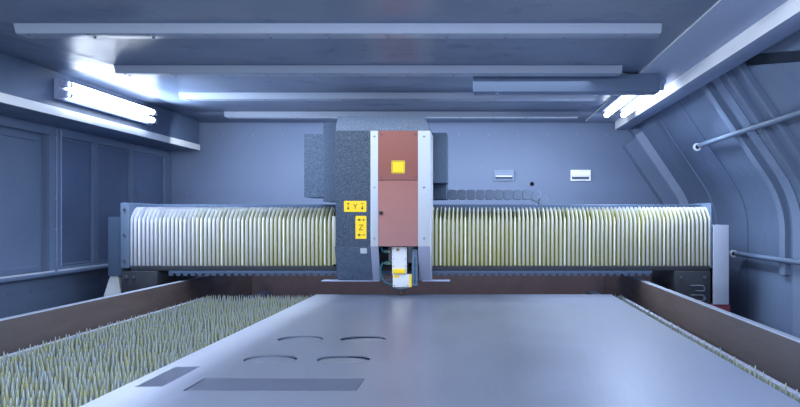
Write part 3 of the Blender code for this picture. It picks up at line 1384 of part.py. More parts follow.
def centre_frame(carrier):
    """The white frame round the red panels: its strips lean back below, as the skirt does."""
    back = COVER_FRONT + STRIP_DEPTH
    rear = back + CROSSBAR_DEPTH
    foot = COVER_FRONT + SKIRT_LEAN
    upright = [(COVER_FRONT, COVER_TOP), (COVER_FRONT, COVER_BOTTOM), (foot, SKIRT_BOTTOM),
               (foot + STRIP_DEPTH, SKIRT_BOTTOM), (rear, COVER_BOTTOM), (rear, COVER_TOP)]
    right = CARRIAGE_RIGHT
    side_end = CARRIAGE_PLATE_FRONT - GAP
    low_end = GANTRY_FRONT - GAP
    side = [(COVER_FRONT + WELD, COVER_TOP), (COVER_FRONT + WELD, COVER_BOTTOM),
            (foot + WELD, SKIRT_BOTTOM), (low_end, SKIRT_BOTTOM), (low_end, CARRIAGE_BOTTOM),
            (side_end, CARRIAGE_BOTTOM), (side_end, COVER_TOP)]
    members = [prism(upright, "X", STRIP_RIGHT_X, right),
               prism(side, "X", right - SHEET, right)]
    for height in CROSSBAR_HEIGHTS:
        members.append(block((STRIP_LEFT_X[1] - WELD, STRIP_RIGHT_X + WELD),
                             (back, rear - WELD), (height, height + CROSSBAR_TALL)))
    members.append(block(FRAME_WEB_X, (back + WELD, COLUMN_FRONT - GAP),
                         (FRAME_WEB_HEIGHT, COLUMN_TOP - 2 * WELD)))
    members.append(block(FRAME_WEB_X, (back + WELD, rear - 2 * WELD),
                         (FRAME_WEB_HEIGHT + WELD, CROSSBAR_HEIGHTS[1] + WELD)))
    piece("centre_frame", white_paint(), carrier, prism(upright, "X", *STRIP_LEFT_X),
          welded=members)


def red_panels(carrier, door_carrier):
    x = (STRIP_LEFT_X[1] + GAP, STRIP_RIGHT_X - GAP)
    y = (COVER_FRONT, COVER_FRONT + PANEL_THICKNESS)
    half = PANEL_SEAM / 2
    piece("red_upper_panel", red_paint(), carrier,
          block(x, y, (PANEL_SEAM_HEIGHT + half, COVER_TOP)))
    door = block(x, y, (COVER_BOTTOM, PANEL_SEAM_HEIGHT - half))
    margin = 4 * SHEET
    back = block((x[0] + margin, x[1] - margin), (y[1] - SHEET, y[1] + SHEET),
                 (COVER_BOTTOM + margin, PANEL_SEAM_HEIGHT - half - margin))
    piece("red_door", red_paint(), door_carrier, door, cut=[back])


def door_lock(carrier):
    profile = [(LOCK_RADIUS, 0), (LOCK_RADIUS, LOCK_REACH * 0.8),
               (LOCK_RADIUS * 0.8, LOCK_REACH)]
    knob = turned(profile, (LOCK_X, COVER_FRONT - GAP, LOCK_HEIGHT), direction=(0, -1, 0), sides=16)
    slot = block((LOCK_X - LOCK_RADIUS, LOCK_X + LOCK_RADIUS),
                 (COVER_FRONT - 2 * LOCK_REACH, COVER_FRONT - LOCK_REACH * 0.7),
                 (LOCK_HEIGHT - LOCK_RADIUS / 6, LOCK_HEIGHT + LOCK_RADIUS / 6))
    piece("door_lock", bright_steel(), carrier, knob, cut=[slot])


def bottom_shield(carrier):
    top = SKIRT_BOTTOM - GAP
    plate = block(SHIELD_X, SHIELD_Y, (top - SHIELD_THICKNESS, top))
    notch = block(SHIELD_CUT_X, (SHIELD_Y[0] - SHEET, SHIELD_CUT_REAR),
                  (top - 2 * SHIELD_THICKNESS, top + SHIELD_THICKNESS))
    piece("bottom_shield", light_grey_paint(), carrier, plate, cut=[notch])


def rear_boxes(carrier):
    start = COVER_REAR + GAP
    tall = block((LEFT_BOX_STEP, LEFT_BOX_X[1]), (start, start + LEFT_BOX_DEPTH - WELD), LEFT_BOX_TALL_Z)
    piece("left_rear_box", cover_paint(), carrier,
          block((LEFT_BOX_X[0], LEFT_BOX_X[1] - WELD), (start + WELD, start + LEFT_BOX_DEPTH),
                LEFT_BOX_Z), welded=[tall])
    body = block(RIGHT_BOX_X, (start, start + RIGHT_BOX_DEPTH), RIGHT_BOX_Z)
    low = CHAIN_TOP - CHAIN_HALF_HEIGHT - 2 * SHEET / 3
    arm = block(CHAIN_ARM_X, (CHAIN_ARM_FRONT, CHAIN_REAR), (low, RIGHT_BOX_Z[0] + WELD))
    piece("right_rear_box", cover_paint(), carrier, body, welded=[arm])


# Cutting head

def head_pieces(carrier, cartridge_carrier):
    piece("z_slide", bright_steel(), carrier,
          block(COLUMN_X, (SLIDE_FRONT, SLIDE_REAR), (SLIDE_BOTTOM, SLIDE_TOP)))
    wide = (HEAD_X - HEAD_HALF_WIDTH, HEAD_X + HEAD_HALF_WIDTH)
    body = block(wide, (HEAD_FRONT, HEAD_REAR), (HEAD_BOTTOM, HEAD_TOP))
    slot_half = CARTRIDGE_HALF_WIDTH + RUNNING_GAP
    slot_rear = HEAD_FRONT + CARTRIDGE_LENGTH + RUNNING_GAP
    cartridge_top = CARTRIDGE_BOTTOM + CARTRIDGE_TALL
    slot = block((HEAD_X - slot_half, HEAD_X + slot_half), (HEAD_FRONT - SHEET, slot_rear),
                 (CARTRIDGE_BOTTOM - RUNNING_GAP, cartridge_top + RUNNING_GAP))
    fittings = []
    for height in FITTING_HEIGHTS:
        profile = [(FITTING_RADIUS * 0.7, -WELD), (FITTING_RADIUS * 0.7, FITTING_LENGTH * 0.3),
                   (FITTING_RADIUS, FITTING_LENGTH * 0.3), (FITTING_RADIUS, FITTING_LENGTH)]
        fittings.append(turned(profile, (wide[0], HEAD_FRONT + FITTING_INSET, height),
                               direction=(-1, 0, 0), sides=12))
    piece("head_body", white_paint(), carrier, body, welded=[together(fittings)], cut=[slot])
    drawer = block((HEAD_X - CARTRIDGE_HALF_WIDTH, HEAD_X + CARTRIDGE_HALF_WIDTH),
                   (HEAD_FRONT - WELD, HEAD_FRONT + CARTRIDGE_LENGTH),
                   (CARTRIDGE_BOTTOM, cartridge_top))
    lip_half = CARTRIDGE_HALF_WIDTH + CARTRIDGE_LIP
    lip_rear = HEAD_FRONT - GAP
    lip = block((HEAD_X - lip_half, HEAD_X + lip_half), (lip_rear - CARTRIDGE_LIP_DEPTH, lip_rear),
                (CARTRIDGE_BOTTOM - CARTRIDGE_LIP, cartridge_top + CARTRIDGE_LIP))
    piece("window_cartridge", yellow_paint(), cartridge_carrier, drawer, welded=[lip])
    collimator(carrier)
    lower_head(carrier, wide)


def collimator(carrier):
    base = HEAD_TOP + GAP
    profile = [(COLLIMATOR_RADIUS, 0), (COLLIMATOR_RADIUS, COLLIMATOR_TOP - base),
               (FIBRE_PLUG_RADIUS, COLLIMATOR_TOP - base), (FIBRE_PLUG_RADIUS, FIBRE_PLUG_TOP - base)]
    middle = (HEAD_FRONT + HEAD_REAR) / 2
    piece("collimator", bright_steel(), carrier, turned(profile, (HEAD_X, middle, base)), smooth=True)


def lower_head(carrier, wide):
    lower_top = HEAD_BOTTOM - GAP
    piece("lower_body", frame_paint(), carrier,
          block(LOWER_BODY_X, (HEAD_FRONT, HEAD_FRONT + LOWER_BODY_DEPTH),
                (LOWER_BODY_BOTTOM, lower_top)))
    holder_top = LOWER_BODY_BOTTOM - GAP
    holder_low = holder_top - HOLDER_HEIGHT
    profile = [(HOLDER_NECK_RADIUS, 0), (HOLDER_RADIUS * 0.9, HOLDER_HEIGHT * 0.6),
               (HOLDER_RADIUS, HOLDER_HEIGHT * 0.7), (HOLDER_RADIUS, HOLDER_HEIGHT)]
    piece("nozzle_holder", bright_steel(), carrier,
          turned(profile, (NOZZLE_X, NOZZLE_Y, holder_low), sides=24), smooth=True)
    height = holder_low - GAP - NOZZLE_TIP
    profile = [(NOZZLE_TIP_RADIUS, 0), (NOZZLE_RADIUS * 0.8, height * 0.55),
               (NOZZLE_RADIUS, height * 0.6), (NOZZLE_RADIUS, height)]
    piece("nozzle", copper_alloy(), carrier,
          turned(profile, (NOZZLE_X, NOZZLE_Y, NOZZLE_TIP), bore=NOZZLE_BORE_RADIUS), smooth=True)
    post_left = LOWER_BODY_X[1] + GAP
    post_front = HEAD_FRONT + 0.01
    piece("sensor_post", black_plastic(), carrier,
          block((post_left, post_left + POST_WIDTH), (post_front, post_front + POST_DEPTH),
                (POST_BOTTOM, POST_TOP)))
    head_lines(carrier, wide, post_left, post_front)


def head_lines(carrier, wide, post_left, post_front):
    """The two hoses at the left of the head and the cable in front of the post."""
    tip = wide[0] - FITTING_LENGTH - GAP
    y = HEAD_FRONT + FITTING_INSET
    low, high = FITTING_HEIGHTS
    body_side = LOWER_BODY_X[0] - GAP
    tube_along("water_hose", teal_plastic(), carrier, [
        (tip, y, low), (tip - 0.008, y, low), (tip - 0.018, y, low - 0.018),
        (tip - 0.017, y, low - 0.045), (tip - 0.006, y, low - 0.072),
        (body_side - 0.016, y, low - 0.087), (body_side, y, low - 0.087)], HOSE_RADIUS)
    neck = HEAD_X - COLLIMATOR_RADIUS - GAP
    middle = (HEAD_FRONT + HEAD_REAR) / 2
    tube_along("gas_hose", teal_plastic(), carrier, [
        (tip, y, high), (tip - 0.008, y, high), (tip - 0.017, y + 0.003, high + 0.020),
        (tip - 0.014, y + 0.008, high + 0.044), (tip - 0.003, y + 0.014, high + 0.066),
        (neck - 0.016, middle, high + 0.080), (neck, middle, high + 0.080)], HOSE_RADIUS)
    x = post_left + POST_WIDTH / 2
    front = post_front - GAP
    tube_along("sensor_cable", teal_plastic(), carrier, [
        (x, front, POST_TOP - 0.040), (x, front - 0.006, POST_TOP - 0.040),
        (x, front - 0.014, POST_TOP - 0.055), (x, front - 0.014, POST_TOP - 0.085),
        (x, front - 0.013, POST_TOP - 0.115), (x, front - 0.006, POST_TOP - 0.135),
        (x, front, POST_TOP - 0.135)], CABLE_RADIUS)


def build():
    clear_scene()
    base_frame()
    guard_plate("guard_plate_left", -1)
    guard_plate("guard_plate_right", 1)
    front_portal()
    rear_wall()
    for name, middle in zip(("pull_handle_left", "pull_handle_right"), PULL_HANDLE_X):
        pull_handle(name, middle)
    left_wall()
    right_wall()
    rods()
    roof()
    sensor_beam()
    lamp_rail_left()
    lamp_rail_right()
    lamps()
    front_door(moving_body("front_door_axis", (0, PORTAL_FRONT, FRONT_DOOR_PARKED)))
    left_door(moving_body("left_door_axis", (-WALL_OUTER, 0, LEFT_RIM_HEIGHT)))
    pivot = bent_line(WALL_THICKNESS)[-1]
    right_door(moving_body("right_door_axis", (pivot.x, 0, pivot.y)))
    bed = moving_body("pallet_axis", (0, PALLET_FRONT, PALLET_BOTTOM))
    pallet(bed)
    work_sheet(bed)
    scrap_drawer(moving_body("scrap_drawer_axis", (0, REAR_FACE, LOWER_TIE_TOP)))
    gantry = moving_body("gantry_axis", (0, GANTRY_FRONT, RAIL_TOP))
    truck("left_truck", frame_paint(), gantry, -1)
    truck("right_truck", dark_red_paint(), gantry, 1)
    bridge_beam(gantry)
    gantry_ends(gantry)
    left_outer = GANTRY_LEFT - END_PLATE_LEFT + WELD + GAP
    drive_box("left_drive_box", gantry, left_outer, left_outer + DRIVE_BOX_WIDTH)
    drive_box("right_drive_box", gantry, GANTRY_RIGHT - DRIVE_BOX_WIDTH, GANTRY_RIGHT)
    right_cover(gantry)
    lower_strips(gantry)
    bellows("bellows_left", gantry, GANTRY_LEFT + GAP, CARRIAGE_LEFT - GAP)
    bellows("bellows_right", gantry, CARRIAGE_RIGHT + GAP, GANTRY_RIGHT - GAP)
    cable_chain(gantry)
    carriage = moving_body("carriage_axis", (0, BRIDGE_RAIL_FRONT, sum(BRIDGE_RAIL_HEIGHTS) / 2), gantry)
    carriage_frame(carriage)
    cover_left(carriage)
    left_skirt(carriage)
    top_cover(carriage)
    centre_frame(carriage)
    hinge = moving_body("red_door_axis", (STRIP_RIGHT_X - GAP, COVER_FRONT, PANEL_SEAM_HEIGHT), carriage)
    red_panels(carriage, hinge)
    door_lock(moving_body("door_lock_axis", (LOCK_X, COVER_FRONT, LOCK_HEIGHT), hinge))
    bottom_shield(carriage)
    rear_boxes(carriage)
    head = moving_body("head_axis", (HEAD_X, SLIDE_REAR, SLIDE_BOTTOM), carriage)
    cartridge = moving_body("cartridge_axis", (HEAD_X, HEAD_FRONT, CARTRIDGE_BOTTOM), head)
    head_pieces(head, cartridge)


build()
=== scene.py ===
import json
import math
import random

import bmesh
import bpy
from mathutils import Matrix, Vector

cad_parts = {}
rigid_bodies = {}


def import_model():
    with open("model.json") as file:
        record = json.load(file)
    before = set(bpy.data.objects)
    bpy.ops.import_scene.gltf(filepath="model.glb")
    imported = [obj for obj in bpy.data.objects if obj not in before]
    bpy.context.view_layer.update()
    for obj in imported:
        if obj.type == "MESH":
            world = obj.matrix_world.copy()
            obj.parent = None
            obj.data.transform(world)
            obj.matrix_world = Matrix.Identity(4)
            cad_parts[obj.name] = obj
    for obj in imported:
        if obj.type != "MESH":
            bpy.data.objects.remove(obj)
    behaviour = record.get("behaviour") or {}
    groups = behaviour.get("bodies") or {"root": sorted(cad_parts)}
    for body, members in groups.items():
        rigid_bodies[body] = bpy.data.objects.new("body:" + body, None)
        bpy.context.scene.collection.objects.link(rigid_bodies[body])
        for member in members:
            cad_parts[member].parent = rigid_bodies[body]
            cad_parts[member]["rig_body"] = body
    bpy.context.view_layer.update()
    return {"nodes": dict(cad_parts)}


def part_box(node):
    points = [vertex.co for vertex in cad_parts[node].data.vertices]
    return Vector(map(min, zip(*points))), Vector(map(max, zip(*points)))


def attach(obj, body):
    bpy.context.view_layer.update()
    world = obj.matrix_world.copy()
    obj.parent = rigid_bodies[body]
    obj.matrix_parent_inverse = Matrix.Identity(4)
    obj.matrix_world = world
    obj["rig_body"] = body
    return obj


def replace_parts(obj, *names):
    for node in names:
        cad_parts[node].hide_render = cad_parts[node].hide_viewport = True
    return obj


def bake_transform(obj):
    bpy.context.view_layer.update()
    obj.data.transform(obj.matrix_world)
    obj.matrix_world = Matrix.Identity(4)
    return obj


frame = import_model()
nodes = frame["nodes"]
print("frame loaded:", len(nodes), "solids")


class Wire:
    # a socket that can be used in plain expressions
    def __init__(self, paint, socket):
        self.paint = paint
        self.socket = socket

    def math(self, operation, first, second=None):
        values = {0: first} if second is None else {0: first, 1: second}
        return self.paint.node("ShaderNodeMath", {"operation": operation}, values)

    def __add__(self, other):
        return self.math("ADD", self, other)

    def __sub__(self, other):
        return self.math("SUBTRACT", self, other)

    def __rsub__(self, other):
        return self.math("SUBTRACT", other, self)

    def __mul__(self, other):
        return self.math("MULTIPLY", self, other)

    def __truediv__(self, other):
        return self.math("DIVIDE", self, other)

    def __rtruediv__(self, other):
        return self.math("DIVIDE", other, self)

    def __pow__(self, other):
        return self.math("POWER", self, other)

    def __gt__(self, other):
        return self.math("GREATER_THAN", self, other)

    def __lt__(self, other):
        return self.math("LESS_THAN", self, other)

    __radd__ = __add__
    __rmul__ = __mul__


class Paint:
    # one procedural material, made node by node
    def __init__(self, name, roughness=0.5, metallic=0.0, coat=0.0):
        self.material = bpy.data.materials.new(name)
        self.material.use_nodes = True
        self.tree = self.material.node_tree
        self.shader = self.tree.nodes["Principled BSDF"]
        self.set("Roughness", roughness)
        self.set("Metallic", metallic)
        self.set("Coat Weight", coat)
        self.place = self.node("ShaderNodeTexCoord", out="Object")

    def node(self, kind, settings=None, sockets=None, out=0):
        made = self.tree.nodes.new(kind)
        for key, value in (settings or {}).items():
            if key == "stops":
                ramp = made.color_ramp
                while len(ramp.elements) < len(value):
                    ramp.elements.new(1.0)
                for element, (position, colour) in zip(ramp.elements, value):
                    element.position = position
                    element.color = (*colour, 1)
            else:
                setattr(made, key, value)
        for key, value in (sockets or {}).items():
            self.feed(made.inputs[key], value)
        return Wire(self, made.outputs[out])

    def feed(self, socket, value):
        if isinstance(value, Wire):
            self.tree.links.new(value.socket, socket)
        elif isinstance(value, tuple) and len(value) == 3 and socket.type == "RGBA":
            socket.default_value = (*value, 1)
        else:
            socket.default_value = value

    def set(self, name, value):
        self.feed(self.shader.inputs[name], value)

    def stretched(self, scale):
        return self.node("ShaderNodeMapping", {}, {"Vector": self.place, "Scale": scale})

    def noise(self, scale, detail=4.0, roughness=0.6, where=None):
        return self.node("ShaderNodeTexNoise", {}, {
            "Vector": where or self.place, "Scale": scale, "Detail": detail, "Roughness": roughness})

    def cells(self, scale):
        return self.node("ShaderNodeTexVoronoi", {"feature": "F1"}, {"Vector": self.place, "Scale": scale})

    def between(self, wire, low, high):
        return self.node("ShaderNodeMapRange", {"clamp": True},
                         {"Value": wire, "From Min": low, "From Max": high})

    def mix(self, share, first, second):
        made = self.tree.nodes.new("ShaderNodeMix")
        made.data_type = "RGBA"
        self.feed(made.inputs[0], share)
        self.feed(made.inputs[6], first)
        self.feed(made.inputs[7], second)
        return Wire(self, made.outputs[2])

    def axis(self, letter):
        return self.node("ShaderNodeSeparateXYZ", {}, {"Vector": self.place}, out=letter)

    def bump(self, height, strength=0.2, distance=0.001):
        self.set("Normal", self.node("ShaderNodeBump", {}, {
            "Height": height, "Strength": strength, "Distance": distance}))


def sheetPaint(name, colour, dusty, roughness=0.5, speckle=0.25, grime=0.35):
    # powder coat: orange peel, fine speckle, dust that gathers in soft patches
    p = Paint(name, roughness)
    patches = p.between(p.noise(2.2, 6, 0.62), 0.42, 0.72)
    fine = p.between(p.noise(900, 2, 0.5), 0.35, 0.65)
    shade = p.mix(patches * grime, colour, dusty)
    p.set("Base Color", p.mix(fine * speckle, shade, tuple(min(1, c * 1.9 + 0.02) for c in colour)))
    scuffs = p.between(p.noise(7, 8, 0.7), 0.55, 0.75)
    p.set("Roughness", roughness + scuffs * 0.22 - patches * 0.06)
    p.bump(p.noise(420, 3, 0.5), 0.12, 0.0006)
    return p.material


def speckledPaint(name, ground, grains):
    # textured two-colour coat of the carriage covers: pale grains on a darker ground
    p = Paint(name, 0.52)
    fine = p.between(p.noise(310, 3, 0.62), 0.44, 0.66)
    patches = p.between(p.noise(3, 6, 0.62), 0.42, 0.72)
    shade = p.mix(patches * 0.3, ground, tuple(c * 1.3 + 0.01 for c in ground))
    p.set("Base Color", p.mix(fine, shade, grains))
    p.set("Roughness", 0.46 + fine * 0.14)
    p.bump(fine, 0.25, 0.0008)
    return p.material


def makeRedPaint():
    # faded red panels, chalkier and pinker towards the cutting head
    p = Paint("redPaint", 0.5)
    fine = p.between(p.noise(700, 2, 0.5), 0.35, 0.65)
    low = p.between(1.50 - p.axis("Z") + p.noise(5, 5) * 0.12, 0.05, 0.42)
    shade = p.mix(low, (0.215, 0.070, 0.058), (0.320, 0.178, 0.192))
    p.set("Base Color", p.mix(fine * 0.35, shade, (0.35, 0.175, 0.17)))
    p.set("Roughness", 0.46 + low * 0.16)
    p.bump(p.noise(420, 3, 0.5), 0.12, 0.0006)
    return p.material


def bareSteel(name, colour, stain, roughness=0.3, along=(1, 60, 60)):
    # ground or drawn steel: fine lines one way, faint stains
    p = Paint(name, roughness, 0.9)
    lines = p.noise(40, 6, 0.7, p.stretched(along))
    stains = p.between(p.noise(5, 5, 0.6), 0.5, 0.8)
    lined = p.mix(lines * 0.4, colour, tuple(c * 0.7 for c in colour))
    p.set("Base Color", p.mix(stains * 0.6, lined, stain))
    p.set("Roughness", roughness + lines * 0.12 + stains * 0.2)
    p.bump(lines, 0.08, 0.0004)
    return p.material


def mouldedPlastic(name, colour, roughness=0.45):
    p = Paint(name, roughness)
    grain = p.noise(1200, 2, 0.5)
    dust = p.between(p.noise(25, 5, 0.6), 0.5, 0.75)
    p.set("Base Color", p.mix(dust * 0.3, colour, tuple(c * 0.6 + 0.06 for c in colour)))
    p.set("Roughness", roughness + dust * 0.2)
    p.bump(grain, 0.1, 0.0003)
    return p.material


cabinPaint = sheetPaint("cabinPaint", (0.080, 0.122, 0.215), (0.115, 0.160, 0.255), 0.46, 0.22)
ceilingPaint = sheetPaint("ceilingPaint", (0.095, 0.135, 0.230), (0.130, 0.175, 0.270), 0.34, 0.2)
ribPaint = sheetPaint("ribPaint", (0.26, 0.32, 0.44), (0.18, 0.22, 0.32), 0.32, 0.1)
railPaint = sheetPaint("railPaint", (0.84, 0.89, 0.97), (0.66, 0.72, 0.82), 0.42, 0.05)
cabinLight = sheetPaint("cabinLight", (0.24, 0.31, 0.48), (0.17, 0.22, 0.35), 0.42, 0.1)
outerPaint = sheetPaint("outerPaint", (0.46, 0.49, 0.54), (0.36, 0.38, 0.42), 0.4, 0.05, 0.2)
bedPaint = sheetPaint("bedPaint", (0.055, 0.070, 0.115), (0.095, 0.095, 0.11), 0.55, 0.15, 0.6)
platePaint = sheetPaint("platePaint", (0.095, 0.145, 0.240), (0.13, 0.18, 0.28), 0.42, 0.15)
bandPaint = sheetPaint("bandPaint", (0.118, 0.170, 0.285), (0.15, 0.20, 0.31), 0.42, 0.12)
postPaint = sheetPaint("postPaint", (0.050, 0.082, 0.150), (0.07, 0.105, 0.18), 0.42, 0.15)
hoodPaint = speckledPaint("hoodPaint", (0.078, 0.110, 0.175), (0.19, 0.245, 0.345))
coverPaint = speckledPaint("coverPaint", (0.036, 0.062, 0.115), (0.155, 0.215, 0.32))
sidePaint = speckledPaint("sidePaint", (0.022, 0.039, 0.072), (0.110, 0.155, 0.230))
stripPaint = sheetPaint("stripPaint", (0.43, 0.49, 0.60), (0.36, 0.41, 0.52), 0.38, 0.03, 0.3)
shadePaint = sheetPaint("shadePaint", (0.25, 0.29, 0.44), (0.20, 0.23, 0.36), 0.42, 0.05, 0.3)
paleCover = sheetPaint("paleCover", (0.33, 0.39, 0.54), (0.28, 0.33, 0.46), 0.42, 0.04, 0.3)
whitePaint = sheetPaint("whitePaint", (0.55, 0.61, 0.71), (0.44, 0.49, 0.60), 0.38, 0.03, 0.3)
darkRedPaint = sheetPaint("darkRedPaint", (0.20, 0.04, 0.06), (0.10, 0.05, 0.08), 0.45, 0.1, 0.5)
yellowPaint = sheetPaint("yellowPaint", (0.80, 0.56, 0.02), (0.55, 0.38, 0.04), 0.45, 0.05, 0.25)
inkPaint = sheetPaint("inkPaint", (0.03, 0.03, 0.035), (0.08, 0.07, 0.05), 0.5, 0.05, 0.3)
machinedSteel = bareSteel("machinedSteel", (0.55, 0.58, 0.65), (0.35, 0.33, 0.32), 0.28)
screwSteel = bareSteel("screwSteel", (0.42, 0.44, 0.50), (0.20, 0.19, 0.19), 0.35, (30, 30, 30))
blackPlastic = mouldedPlastic("blackPlastic", (0.030, 0.036, 0.050))
chainPlastic = mouldedPlastic("chainPlastic", (0.115, 0.155, 0.240), 0.5)
tealPlastic = mouldedPlastic("tealPlastic", (0.02, 0.11, 0.17), 0.3)
rubberBlack = mouldedPlastic("rubberBlack", (0.012, 0.012, 0.014), 0.6)
brassMetal = bareSteel("brassMetal", (0.72, 0.48, 0.18), (0.35, 0.20, 0.08), 0.25)
copperMetal = bareSteel("copperMetal", (0.75, 0.38, 0.22), (0.25, 0.12, 0.10), 0.25)


def makeGuardSteel():
    # plate beside the bed, scorched brown by years of spatter
    p = Paint("guardSteel", 0.62, 0.35)
    spots = p.between(p.cells(240), 0.0, 0.4)
    soot = p.between(p.noise(3, 7, 0.7, p.stretched((1, 0.35, 2.4))), 0.35, 0.7)
    far = p.between(p.axis("Y") + p.noise(2.5, 4) * 0.8, -0.5, 1.1)
    scorched = p.mix(soot, (0.120, 0.088, 0.090), (0.070, 0.056, 0.068))
    base = p.mix(far, p.mix(soot, (0.052, 0.070, 0.105), (0.040, 0.052, 0.075)), scorched)
    p.set("Base Color", p.mix(spots * 0.22, base, (0.22, 0.165, 0.14)))
    p.set("Roughness", 0.5 + soot * 0.3)
    p.bump(p.noise(160, 5, 0.6), 0.25, 0.001)
    return p.material


def makeSlatSteel():
    # teeth are painted bright blue-grey at the tips, a painted highlight, and are darker, green-grey and
    # caked with slag lower down
    p = Paint("slatSteel", 0.5, 0.55)
    height = p.between(p.axis("Z"), 0.895, 0.944)
    slag = p.between(p.noise(38, 5, 0.65), 0.42, 0.62)
    low = p.mix(slag, (0.070, 0.095, 0.110), (0.210, 0.235, 0.045))
    # painted highlight: blue-grey at the tips, patched with yellow-green slag
    tip = p.mix(p.between(p.noise(90, 3, 0.5), 0.42, 0.66), (0.56, 0.70, 0.90), (0.62, 0.66, 0.34))
    p.set("Base Color", p.mix(height ** 1.5, low, tip))
    p.set("Roughness", 0.45 + slag * 0.3)
    p.bump(p.noise(260, 5, 0.7), 0.4, 0.0012)
    return p.material


def makeWorkSteel():
    # cold-rolled sheet: long rolling lines, oil film, dull bands across it, and painted reflections: bright
    # bands across it and a bright highlight strip along its left edge
    p = Paint("workSteel", 0.36, 0.65)
    rolling = p.noise(30, 6, 0.65, p.stretched((14, 0.5, 1)))
    film = p.between(p.noise(1.6, 4, 0.55, p.stretched((1.0, 0.45, 1))), 0.38, 0.66)
    drops = p.between(p.cells(36), 0.0, 0.16)
    x = p.axis("X") + p.noise(2.2, 4) * 0.12
    # painted reflection: bright bands across the sheet
    reflectionBands = p.between(x, 0.42, 0.62) + p.between(0.0 - x, 0.20, 0.36)
    base = p.mix(film, (0.20, 0.235, 0.34), (0.30, 0.345, 0.47))
    base = p.mix(reflectionBands * 0.8, base, (0.52, 0.62, 0.86))
    # painted highlight: a bright strip along the sheet's left edge
    base = p.mix(p.between(0.0 - p.axis("X"), 0.29, 0.37) * 0.75, base, (0.72, 0.80, 0.98))
    p.set("Base Color", p.mix(rolling * 0.3, base, (0.16, 0.18, 0.26)))
    p.set("Roughness", 0.27 + film * 0.12 + rolling * 0.10 + (1 - drops) * 0.04)
    p.bump(rolling, 0.05, 0.0003)
    return p.material


def makeBellowsCloth(name, away, reach, valleyShade):
    # coated cloth: silvery at the wall side, smoked ochre low down and towards the cutting head
    p = Paint(name, 0.36, 0.25)
    stain = p.between(p.noise(6, 5, 0.6, p.stretched((3.5, 1, 0.8))), 0.38, 0.70)
    low = p.between(1.33 - p.axis("Z"), 0.0, 0.30)
    weave = p.noise(1500, 2, 0.4, p.stretched((1, 1, 1.7)))
    middle = p.between(p.axis("X") * away, -reach, -0.10)
    tint = (stain * 0.5 + 0.5) * (low * 0.7 + 0.42) * middle
    crest = p.mix(tint, (0.58, 0.62, 0.74), (0.47, 0.47, 0.12))
    # painted shade: the valleys of the folds are painted darker than the crests, with an ochre stain
    # towards the cutting head
    valley = p.mix(p.between(middle + stain * 0.3, 0.1, 0.7), valleyShade, (0.26, 0.27, 0.035))
    fold = p.node("ShaderNodeAttribute", {"attribute_name": "fold"}, out="Fac")
    p.set("Base Color", p.mix(p.between(fold, 0.03, 0.75), crest, valley))
    p.set("Roughness", 0.34 + stain * 0.18)
    p.bump(weave, 0.15, 0.0003)
    return p.material


def makeLampGlow():
    p = Paint("lampGlow", 0.2)
    ends = p.between(p.noise(2, 2, 0.5, p.stretched((1, 3, 1))), 0.2, 0.8)
    p.set("Base Color", p.mix(ends, (0.86, 0.92, 1.0), (0.95, 0.97, 1.0)))
    p.set("Emission Color", p.mix(ends, (0.80, 0.90, 1.0), (0.92, 0.96, 1.0)))
    p.set("Emission Strength", 9.0)
    return p.material


redPaint = makeRedPaint()
guardSteel = makeGuardSteel()
slatSteel = makeSlatSteel()
workSteel = makeWorkSteel()
bellowsLeftCloth = makeBellowsCloth("bellowsLeftCloth", 1, 1.25, (0.29, 0.35, 0.49))
bellowsRightCloth = makeBellowsCloth("bellowsRightCloth", -1, 2.0, (0.17, 0.20, 0.26))
lampGlow = makeLampGlow()
fieldPaint = sheetPaint("fieldPaint", (0.058, 0.092, 0.185), (0.085, 0.125, 0.22), 0.4, 0.15)
# the cut discs' steel is painted light: a painted highlight, as the tilted discs catch the lamps
slugSteel = bareSteel("slugSteel", (0.52, 0.60, 0.76), (0.40, 0.42, 0.46), 0.3, (12, 12, 12))
dullSheet = bareSteel("dullSheet", (0.32, 0.37, 0.52), (0.25, 0.29, 0.42), 0.42, (14, 0.5, 1))
barSteel = bareSteel("barSteel", (0.55, 0.62, 0.74), (0.36, 0.36, 0.38), 0.45)
print("finishes ready")


def placed(name, data):
    made = bpy.data.objects.new(name, data)
    bpy.context.scene.collection.objects.link(made)
    return made


def meshObject(name, shape, material):
    bmesh.ops.recalc_face_normals(shape, faces=shape.faces)
    mesh = bpy.data.meshes.new(name)
    shape.to_mesh(mesh)
    shape.free()
    for one in material if isinstance(material, list) else [material]:
        mesh.materials.append(one)
    return placed(name, mesh)


def applied(made):
    # modifiers are turned into plain mesh
    depsgraph = bpy.context.evaluated_depsgraph_get()
    mesh = bpy.data.meshes.new_from_object(made.evaluated_get(depsgraph))
    made.modifiers.clear()
    old = made.data
    made.data = mesh
    bpy.data.meshes.remove(old)
    return made


def smoothed(made, angle=38):
    made.data.shade_smooth()
    made.data.set_sharp_from_angle(angle=math.radians(angle))
    return made


def soften(made, width, segments=2, angle=32):
    bevel = made.modifiers.new("edges", "BEVEL")
    bevel.width = width
    bevel.segments = segments
    bevel.limit_method = "ANGLE"
    bevel.angle_limit = math.radians(angle)
    bevel.use_clamp_overlap = True
    return smoothed(applied(made))


def addBox(shape, x, y, z):
    corners = [shape.verts.new((a, b, c)) for a in x for b in y for c in z]
    for face in ((0, 1, 3, 2), (4, 6, 7, 5), (0, 4, 5, 1), (2, 3, 7, 6), (0, 2, 6, 4), (1, 5, 7, 3)):
        shape.faces.new([corners[i] for i in face])


